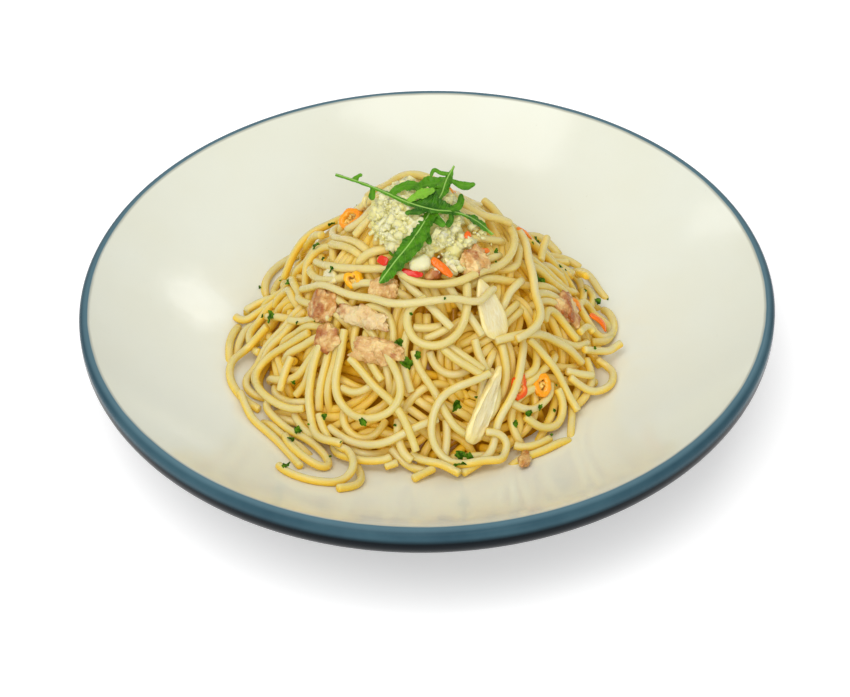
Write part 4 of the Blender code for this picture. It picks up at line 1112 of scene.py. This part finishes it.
def cheeseMaterial():
    # pale yellow crumbs, yellower in patches and, as painted shade, in the hollows between the mound's
    # lumps;
    # matt and soft, with a faint emitted painted glow
    p = Paint("gratedCheese")
    tone = p.mark("tone")
    colour = p.mix(tone, shade(216, 213, 178), shade(217, 209, 138))
    colour = p.mix(p.clouds(500, 3, 0.48, 0.74) * 0.35, colour, shade(222, 204, 84))
    return p.finish(Base_Color=colour, Roughness=p.clouds(500, 2, 0.3, 0.7, 0.45, 0.7), IOR=1.3,
                    soft=(0.5, (1.0, 0.9, 0.35), 0.0018),
                    # painted light: a faint yellow emitted glow that lifts the crumbs' shade
                    Emission_Color=shade(190, 184, 96), Emission_Strength=0.14,
                    Normal=p.bump(p.noise(1500, 4) + p.noise(500, 3), 0.0002, 0.25))


def makeCheese(pile):
    material = cheeseMaterial()
    # mound: a cap on the skin, highest over the summit, lumpy, closed by a lower sheet
    azimuth, share = np.meshgrid(np.linspace(0, 360, 240, endpoint=False), np.linspace(0, 1, 71)[1:])
    x, y = places(azimuth, share * cheeseEdge(azimuth))
    ground, out = skin(x, y)
    lumps = 0.55 * ripple(ground, rng, 6, 4.5) + 0.5 * ripple(ground, rng, 8, 2.2)
    lumps = lumps + 0.28 * ripple(ground, rng, 9, 1.1)
    thick = (cheese["thickness"] + lumps) * (1 - share**4) - cheese["tuck"] * share**4
    top = ground + (cheese["bed"] + thick)[..., None] * out
    bottom = (ground - cheese["sunk"] * out)[::-1]
    points, faces = closedRings(np.concatenate([top, bottom]),
                                [top[0].mean(axis=0), bottom[-1].mean(axis=0)])
    # painted shade: the hollows between the lumps get the higher tone, which is yellower
    low = np.clip(0.5 - 0.5 * lumps, 0, 1)
    tone = np.concatenate([low.ravel(), np.ones(low.size + 2)])
    makePiece("cheeseMound", points, faces, material, {"tone": tone}, ["grated_cheese"], "cheese")
    # crumbs: small blunt blocks and splinters strewn over the mound, thinner towards its edge, and some
    # loose ones on the strands to its right
    globe, faces = ball(4, 6)
    number, loose = cheese["crumbs"], cheese["loose"]
    azimuth = rng.uniform(0, 360, number)
    share = np.sqrt(rng.uniform(0, 1, number)) * rng.choice((1.0, 1.14), number, p=(0.86, 0.14))
    rise = cheese["bed"] + cheese["thickness"] * np.clip(1 - share**4, 0, 1)
    rise = rise + rng.uniform(-0.3, 1.1, number) - 0.7 * (share > 1)
    reach = share * cheeseEdge(azimuth)
    azimuth = np.concatenate([azimuth, rng.uniform(*cheese["looseAzimuth"], loose)])
    reach = np.concatenate([reach, rng.uniform(*cheese["looseReach"], loose)])
    x, y = places(azimuth, reach)
    rise = np.concatenate([rise, pile.read(pile.need, x[number:], y[number:]) - 0.9])
    ground, out = skin(x, y)
    middle = ground + rise[:, None] * out
    # none of them rests on a leaf
    for form in leaves.values():
        rib = ribFrame(form)
        lines = [(rib[0][::4], cheese["clearRib"])]
        lines += [(lobeLine(rib, start, line, lift)[0][::3], cheese["clearLobe"])
                  for start, line, _, _, lift, _ in form["lobes"]]
        for line, reach in lines:
            gap = np.hypot(middle[:, None, 0] - line[:, 0], middle[:, None, 1] - line[:, 1])
            near = line[gap.argmin(axis=1)]
            middle = middle[(gap.min(axis=1) > reach) | (middle[:, 2] < near[:, 2] - cheese["below"])]
    number = len(middle)
    least, most = cheese["crumbSize"]
    size = least + (most - least) * rng.uniform(0, 1, (number, 1)) ** 2.2
    size = size * rng.uniform((0.8, 0.5, 0.45), (1.5, 1.0, 0.8), (number, 3))
    axes = np.linalg.qr(rng.normal(size=(number, 3, 3)))[0]
    axes *= np.sign(np.linalg.det(axes))[:, None, None]
    block = blunt(globe, 0.6)[None] * size[:, None] / 2 * rng.uniform(0.62, 1.3, (number, len(globe), 1))
    crumbs = middle[:, None] + block @ axes
    tone = np.repeat(rng.uniform(0, 0.8, number), len(globe))
    makePiece("cheeseCrumbs", *joined([(crumb, faces) for crumb in crumbs]), material, {"tone": tone},
              slot="cheese")
    print("cheese crumbs:", number)
    # the one large smooth lump at the cheese's front edge
    directions, faces = ball(36, 48)
    shape = blunt(directions, 0.85) * np.array(cheese["lump"]) / 2
    shape *= (1 + 0.05 * ripple(shape, rng, 5, 4) + 0.02 * ripple(shape, rng, 6, 1.6))[:, None]
    makePiece("cheeseLump", seated(shape, cheese["lumpPlace"], 20, node="cheese_chunk"), faces, material,
              {"tone": np.full(len(shape), 0.1)}, ["cheese_chunk"], "cheese")


leaves = {
    # midrib: places of the rib; left and right: half width of the blade at mm along the rib; lobes: where
    # each starts along the rib, its centre line as (along, across) from there, half widths of its neck and
    # its widest part, how high its tip rises, tone 0 dark to 1 light, partly the lobe's own green and
    # partly painted light and shade
    "rocket_leaf_1": {
        "midrib": ((-28.5, 4.5, 86.3), (-20, 3.6, 83.2), (-12, 1.5, 80.5), (-5, -3.8, 80.5),
                   (3, -7.0, 79.9), (10, -4.9, 77.1), (16.5, -2.1, 71.2), (22, -2, 65.3)),
        "side": (0, -0.95, -0.3),
        "left": ((0, 0.5), (10, 0.55), (18, 0.7), (24, 0.8), (27, 1.0), (29, 3.2), (31, 4.8), (33.5, 5.4),
                 (36, 4.6), (38, 3.4), (41, 2.2), (43.5, 0.9), (46, 0.5), (49, 1.5), (52, 2.0), (55, 1.5),
                 (58.7, 0.05)),
        "right": ((0, 0.5), (10, 0.55), (18, 0.7), (24, 0.9), (28, 1.2), (33, 1.5), (37, 1.1), (41, 1.4),
                  (43.5, 0.7), (46, 0.5), (49, 1.5), (52, 2.1), (55, 1.5), (58.7, 0.05)),
        "lobes": (
            (6.1, ((0, -0.2), (0.8, -2.2), (2.0, -3.3)), 1.0, 0.7, 0.2, 0.6),
            (12.3, ((0, 0.3), (0.5, 2.3), (1.0, 4.4)), 0.8, 1.15, -0.8, 0.35),
            (18.4, ((0.1, -0.3), (1.5, -3.7), (3.9, -5.5), (6.8, -6.1), (8.4, -4.6)), 1.3, 2.0, 1.6, 0.4),
            (24.9, ((0.1, 0), (2.2, -3.3), (5.5, -5.6), (7.4, -6.4)), 0.9, 2.0, 2.2, 1.0),
            (32.1, ((0.1, 0.6), (-3.3, 2.2), (-6.8, 3.1)), 0.8, 1.25, -1.0, 0.15),
            (38.7, ((0.1, -0.3), (4.3, -1.9), (6.5, -6.3)), 0.9, 1.35, 1.0, 0.3),
            (40.1, ((-0.2, 0.3), (-0.6, 3.0), (-2.3, 5.4)), 0.8, 1.15, -1.2, 0.25),
        ),
        "tone": 0.15,
        "curl": 0.06,
    },
    "rocket_leaf_2": {
        "midrib": ((9.9, 7.6, 86.4), (7.3, 4.4, 83.0), (5.6, 0.3, 80.5), (2.6, -4.9, 78.9),
                   (-1, -10.6, 76.1), (-5.2, -15.2, 72.4), (-9.8, -19, 68.6), (-15.0, -23.8, 63.9)),
        "side": (0.86, -0.4, 0.2),
        "left": ((0, 0.1), (1.5, 0.3), (3, 0.7), (5, 1.2), (7, 2.8), (9.5, 3.8), (11.5, 2.8), (13.5, 1.2),
                 (17, 0.8), (19, 1.5), (21, 2.9), (22.5, 2.4), (24, 1.7), (27, 2.3), (31, 2.8), (35, 2.3),
                 (39, 1.8), (43, 1.4), (46, 1.2), (47.4, 0.2)),
        "right": ((0, 0.1), (1.5, 0.4), (3, 1.6), (5, 2.3), (8, 2.2), (10.5, 1.6), (13, 1.0), (16, 1.2),
                  (18, 2.9), (20, 4.0), (22, 3.2), (24, 3.6), (26, 5.0), (28, 5.6), (30, 5.3), (33, 5.2),
                  (36, 4.9), (39, 4.2), (42.5, 3.4), (45.8, 2.7), (47.4, 0.2)),
        "lobes": (
            (3.1, ((0, -0.1), (0.9, -3.0), (1.1, -5.7), (3.7, -5.6)), 0.6, 0.75, 0.2, 0.5),
            (6.2, ((-0.1, 0.1), (1.2, -4.4), (3.4, -8.8)), 1.6, 2.5, 0.4, 0.45),
            (4.5, ((0.2, 0.5), (0.5, 5.0), (-0.1, 7.9), (-1.6, 9.9)), 0.5, 1.45, -0.6, 0.4),
            (19.6, ((0.2, 0.6), (0.7, 4.0), (1.8, 7.0)), 2.4, 1.4, -1.0, 0.3),
            (26.0, ((0.1, 0.6), (0.6, 4.0), (2.2, 6.0)), 2.6, 1.3, -0.8, 0.3),
        ),
        "tone": 0.3,
        "curl": 0.05,
    },
}


def leafMaterial():
    # green blade, darker or lighter by the lobe, partly its own green and partly painted light and shade,
    # clouded, with a pale midrib and fine slanting veins
    p = Paint("rocketLeaf")
    across, along, tone, rib = p.mark("across"), p.mark("along"), p.mark("tone"), p.mark("rib")
    ribLine = p.step(across, 0.12, 0.34, 1.0, 0.0) * rib
    vein = p.add("ShaderNodeMath", {"operation": "PINGPONG"}, {0: along - across * 0.7, 1: 1.3})
    vein = p.step(vein, 0.0, 0.22, 1.0, 0.0) * p.step(across, 0.4, 0.9)
    cloud = p.noise(330, 5)
    colour = p.mix(p.step(tone + (cloud - 0.5) * 0.9, 0.0, 0.5), shade(32, 84, 4), shade(80, 142, 12))
    colour = p.mix(p.step(tone + (cloud - 0.5) * 0.5, 0.45, 1.0), colour, shade(124, 180, 48))
    colour = p.mix(p.clouds(900, 3, 0.5, 0.75) * 0.3, colour, shade(110, 150, 60))
    colour = p.mix(vein * 0.3, colour, shade(132, 178, 74))
    colour = p.mix(ribLine * 0.85, colour, shade(158, 200, 98))
    return p.finish(Base_Color=colour, Roughness=p.clouds(600, 2, 0.3, 0.7, 0.34, 0.52), IOR=1.4,
                    Specular_IOR_Level=0.28, soft=(0.15, (0.4, 1.0, 0.1), 0.0006),
                    Normal=p.bump(p.noise(700, 3) * 0.6 - vein * 0.6 + ribLine * 0.5, 0.0004, 0.6))


blade = {
    "thickness": 0.32,  # in the middle, and the share of it that is lost at the edge
    "thinning": 0.7,
    "wave": 0.14,  # height of the ruffle per mm from the rib, up to that width
    "waveWidth": 2.5,
    "stemWidth": 0.4,
}


def bladeShell(spine, across, left, right, curl, stem, phase, columns):
    # a thin closed blade along a spine: the half width on each hand, edges lifted by curl * away^2 and
    # waved, thickest along the rib where a ridge stem high stands out
    axis = unit(np.gradient(spine, axis=0))
    across = unit(across - axis * np.sum(across * axis, axis=1)[:, None])
    out = np.cross(axis, across)
    order = 1 if out[:, 2].mean() > 0 else -1  # which way round the faces run, so that they face outwards
    out = out * order
    gone = travelled(spine)
    fractions = np.linspace(-1, 1, columns)
    half = np.where(fractions < 0, left[:, None], right[:, None])
    size = np.abs(fractions)[None, :]
    away = size * half
    hand = np.sign(fractions)[None, :]
    wave = np.sin(1.5 * gone[:, None] + 2 * hand + phase)
    wave = wave + 0.6 * np.sin(3.7 * gone[:, None] + 1.3 * hand + phase)
    rise = curl * away**2 + blade["wave"] * wave * np.minimum(away, blade["waveWidth"]) * size
    grid = spine[:, None] + (hand * away)[..., None] * across[:, None] + rise[..., None] * out[:, None]
    thick = 0.5 * (blade["thickness"] * (1 - blade["thinning"] * size**4)
                   + stem * np.exp(-((away / blade["stemWidth"]) ** 2)))
    loop = np.concatenate([grid + thick[..., None] * out[:, None],
                           (grid - thick[..., None] * out[:, None])[:, ::-1]], axis=1)
    points, faces = closedRings(loop, spine[[0, -1]])
    distance = np.concatenate([away, away[:, ::-1]], axis=1).ravel()
    return ((points, [f[:, ::order] for f in faces]), np.r_[distance, 0, 0],
            np.r_[np.repeat(gone, 2 * columns), 0, gone[-1]])


def lobeWidth(share, neck, widest):
    # neck + (widest - neck) * a smooth step up to two thirds, then rounded to the tip as a quarter ellipse
    grown = np.clip(share / 0.62, 0, 1)
    grown = grown * grown * (3 - 2 * grown)
    rounding = np.sqrt(np.clip(1 - (np.clip(share - 0.62, 0, 1) / 0.38) ** 2.2, 0, 1))
    return (neck + (widest - neck) * grown) * rounding + 0.03


def ribFrame(form):
    # the midrib in small steps, its direction, the ways across and out of the blade, and the mm gone on it
    spine = evenly(spline(form["midrib"], 400), 0.28)
    axis = unit(np.gradient(spine, axis=0))
    side = np.asarray(form["side"], float)
    across = unit(side - axis * (axis @ side)[:, None])
    out = np.cross(axis, across)
    out *= np.sign(out[:, 2:])
    gone = travelled(spine)
    return spine, axis, across, out, gone * form["left"][-1][0] / gone[-1]


def lobeLine(rib, start, line, lift):
    # a lobe's centre line, its corners (along, across) from where it leaves the rib and rising to its tip
    spine, axis, across, out, gone = rib
    base = np.searchsorted(gone, start)
    flat = np.array(line, float)
    raised = lift * np.linspace(0, 1, len(flat)) ** 1.5
    corners = spine[base] + flat[:, :1] * axis[base] + flat[:, 1:] * across[base]
    corners = corners + raised[:, None] * out[base]
    return evenly(spline(corners, 120), 0.22), out[base]


def makeLeaf(node, form, material):
    # the main blade along the midrib and one small blade for every lobe, joined into one piece
    rib = ribFrame(form)
    spine, _, across, _, gone = rib
    halves = [np.interp(gone, *np.array(form[hand]).T) for hand in ("left", "right")]
    halves = [smoothed(half[:, None], 3)[:, 0]
              * (1 + 0.05 * np.sin(0.8 * gone + k) + 0.03 * np.sin(1.9 * gone + 2 * k))
              for k, half in enumerate(halves)]
    narrow = np.exp(-np.maximum(*halves) / 0.7)  # thick and pale where the blade is only a stem
    main = bladeShell(spine, across, *halves, form["curl"], (0.2 + 0.8 * narrow)[:, None], 1.0, 33)
    shells = [(*main, form["tone"] + 0.8 * np.interp(main[2], gone, narrow), 1.0)]
    for k, (start, line, neck, widest, lift, tone) in enumerate(form["lobes"]):
        vein, up = lobeLine(rib, start, line, lift)
        share = np.linspace(0, 1, len(vein))
        half = lobeWidth(share, neck, widest) * (1 + 0.07 * np.sin(9 * share + k))
        beside = np.cross(np.broadcast_to(up, vein.shape), unit(np.gradient(vein, axis=0)))
        other = half * (0.9 + 0.1 * np.sin(7 * share))
        shells.append((*bladeShell(vein, beside, half, other, form["curl"] + 0.05, 0.08, k + 0.5, 17),
                       tone, 0.1))
    marks = {name: np.concatenate([shell[k] * np.ones(len(shell[1])) for shell in shells])
             for k, name in enumerate(("across", "along", "tone", "rib"), 1)}
    dress(node, *joined([shell[0] for shell in shells]), material, marks, "rocket")


def outwards(piece):
    # turns a closed mesh's faces out where its volume comes out below zero
    mesh = piece.data
    mesh.calc_loop_triangles()
    points = np.empty(len(mesh.vertices) * 3)
    mesh.vertices.foreach_get("co", points)
    corners = np.empty(len(mesh.loop_triangles) * 3, int)
    mesh.loop_triangles.foreach_get("vertices", corners)
    a, b, c = points.reshape(-1, 3)[corners].reshape(-1, 3, 3).transpose(1, 0, 2)
    if np.einsum("ij,ij->i", a, np.cross(b, c)).sum() < 0:
        mesh.flip_normals()


parsley = {  # azimuth, reach, size in mm
    "flakes": ((-100, 0.72, 3.4), (-88, 0.80, 5.0), (-12, 0.59, 4.6), (-8, 0.645, 5.2), (-3, 0.62, 3.0),
               (-36, 0.865, 2.6), (-21, 0.84, 3.2), (-43, 0.97, 3.6), (-40, 1.10, 3.4), (-34, 1.28, 3.8),
               (40, 0.87, 2.6), (35, 0.865, 2.8), (88, 0.62, 6.0), (8, 1.05, 4.6), (105, 0.95, 3.4),
               (42, 0.57, 1.8), (-71, 0.48, 2.8), (-55, 0.84, 2.2), (30, 0.88, 2.6), (11, 0.78, 4.4),
               (9, 0.93, 4.2), (12, 0.95, 3.2), (72, 0.40, 2.4), (-106, 0.56, 3.6), (-90, 0.50, 2.4),
               (150, 0.55, 3.4), (200, 0.70, 3.8), (170, 0.85, 3.0), (230, 0.60, 3.4), (-150, 0.90, 3.2),
               (128, 0.75, 3.2), (-28, 0.30, 3.4)),
    "strewn": 46,  # small specks, at any azimuth, between the roots of these squared reaches
    "strewnReach": (0.12, 1.1),
    "strewnSize": (0.7, 1.6),
    "lobes": (3, 6),  # fewest, and one more than the most
    "tilt": 25,
    "sunk": 0.5,
    "clear": 0.4,  # a middle this far from a strand's side touches it
    "onDish": 0.8,  # a middle so low touches the dish
}


def parsleyMaterial():
    # dark and light green clouds, matt
    p = Paint("parsley")
    colour = p.mix(p.clouds(700, 3, 0.35, 0.68), shade(34, 70, 0), shade(92, 134, 20))
    return p.finish(Base_Color=colour, Roughness=p.clouds(500, 2, 0.3, 0.7, 0.35, 0.6), IOR=1.4,
                    Specular_IOR_Level=0.1, soft=(0.15, (0.4, 1.0, 0.2), 0.0005),
                    Normal=p.bump(p.noise(1600, 3), 0.0003, 0.6))


def flakePoints(size, lobes, rng):
    # a torn leaf: radius wavers with the angle, and the blade ruffles up towards its edge
    directions, faces = ball(10, 30)
    flat = np.hypot(directions[:, 0], directions[:, 1])
    angle = np.arctan2(directions[:, 1], directions[:, 0])
    edge = 0.5 * size * (0.72 + 0.3 * np.abs(np.sin(0.5 * lobes * angle + rng.uniform(0, 6))) ** 0.7
                         + 0.06 * np.sin(7 * angle + rng.uniform(0, 6)))
    spread = flat ** 0.5
    x = edge * spread * np.cos(angle)
    y = 0.72 * edge * spread * np.sin(angle)
    wave = spread**2 * size * (0.12 * np.sin(2 * angle + rng.uniform(0, 6)) + 0.07 * np.sin(
        5 * angle + rng.uniform(0, 6)))
    z = 0.16 * np.sign(directions[:, 2]) * np.abs(directions[:, 2]) ** 0.5 + wave
    return np.stack([x, y, z], axis=1), faces


def restOn(shape, middles):
    # moves a small thing straight to the nearest strand where it would hang clear of it and of the dish
    middle = shape.mean(axis=0)
    away = middles - middle
    distance = np.linalg.norm(away, axis=1)
    near = distance.argmin()
    gap = distance[near] - strand["radius"] - parsley["clear"]
    height = middle[2] - dishHeight(np.hypot(middle[0], middle[1]))
    hangs = gap > 0 and height > parsley["onDish"]
    return shape + away[near] / distance[near] * gap if hangs else shape


def makeParsley(pile, middles):
    flakes, tilt = [], parsley["tilt"]
    spots = list(parsley["flakes"])
    for _ in range(parsley["strewn"]):
        spots.append((rng.uniform(-180, 180), math.sqrt(rng.uniform(*parsley["strewnReach"])),
                      rng.uniform(*parsley["strewnSize"])))
    for azimuth, reach, size in spots:
        x, y = places(azimuth, reach)
        lift = float(pile.read(pile.need, np.array([x]), np.array([y]))[0])
        shape, faces = flakePoints(size, rng.integers(*parsley["lobes"]), rng)
        shape = seated(shape, (azimuth, reach), rng.uniform(0, 360), rng.uniform(-tilt, tilt),
                       rng.uniform(-tilt, tilt), lift=lift - parsley["sunk"])
        flakes.append((restOn(shape, middles), faces))
    makePiece("parsleyFlakes", *joined(flakes), parsleyMaterial(), slot="rocket")


heartMesh(pasta)
makeGarlic()
makeMeat()
makeChilli()
print("garlic, meat and chilli made")
makeCheese(pile)
leafPaint = leafMaterial()
for node, form in leaves.items():
    makeLeaf(node, form, leafPaint)
makeParsley(pile, np.concatenate([skin(x, y)[0] + lift[:, None] * skin(x, y)[1]
                                  for x, y, lift in laidFill + laidGap + laidFront]))
print("toppings made")


studio = {
    "softboxes": {  # place in metres, width, height, watts
        "backLeft": ((-0.75, 0.62, 0.62), 0.16, 0.34, 0.3),
        "backRight": ((0.43, 0.72, 0.71), 0.2, 0.17, 0.36),
        "key": ((-0.28, -0.54, 1.3), 1.1, 1.1, 10.3),
        "front": ((0.0, -1.25, 0.72), 1.4, 0.6, 6.2),
    },
    "target": (0, 0, 0.02),
    "world": 0.49,
    "floorHalf": 3,
    "floorGlow": 0.34,
}
for name, (place, width, height, power) in studio["softboxes"].items():
    light = bpy.data.lights.new(name, "AREA")
    light.shape, light.size, light.size_y, light.energy = "RECTANGLE", width, height, power
    lamp = bpy.data.objects.new(name, light)
    bpy.context.scene.collection.objects.link(lamp)
    lamp.location = place
    lamp.rotation_mode = "QUATERNION"
    lamp.rotation_quaternion = (Vector(studio["target"]) - Vector(place)).to_track_quat("-Z", "Y")
world = bpy.data.worlds.new("studio")
bpy.context.scene.world = world
world.use_nodes = True
world.node_tree.nodes["Background"].inputs["Color"].default_value = (1, 1, 1, 1)
world.node_tree.nodes["Background"].inputs["Strength"].default_value = studio["world"]

floorMesh = bpy.data.meshes.new("floor")
half = studio["floorHalf"]
corners = [(-half, -half, 0), (half, -half, 0), (half, half, 0), (-half, half, 0)]
floorMesh.from_pydata(corners, [], [(0, 1, 2, 3)])
floorMesh.materials.append(Paint("paleFloor").finish(
    Base_Color=(0.98, 0.98, 0.98, 1), Roughness=0.9, Emission_Color=(1, 1, 1, 1),
    Emission_Strength=studio["floorGlow"]))
floor = bpy.data.objects.new("floor", floorMesh)
bpy.context.scene.collection.objects.link(floor)

view = {"distance": 0.8, "elevation": 40.96, "roll": -1.30, "aim": (-0.0009, 0.0, 0.0151), "lens": 99.41}


def makeCamera():
    # behind the aim along the line of sight, rolled a little about it
    e, roll = math.radians(view["elevation"]), math.radians(view["roll"])
    back = Vector((0, -math.cos(e), math.sin(e)))
    level = Vector((1, 0, 0))
    up = back.cross(level)
    right = math.cos(roll) * level + math.sin(roll) * up
    above = back.cross(right)
    matrix = Matrix((right, above, back)).transposed().to_4x4()
    matrix.translation = Vector(view["aim"]) + view["distance"] * back
    data = bpy.data.cameras.new("camera")
    data.sensor_width, data.lens = 36, view["lens"]
    data.clip_start, data.clip_end = 0.01, 20
    camera = bpy.data.objects.new("camera", data)
    camera.matrix_world = matrix
    bpy.context.scene.collection.objects.link(camera)
    bpy.context.scene.camera = camera


makeCamera()
print("studio made")
bpy.context.scene.view_settings.view_transform = "Standard"
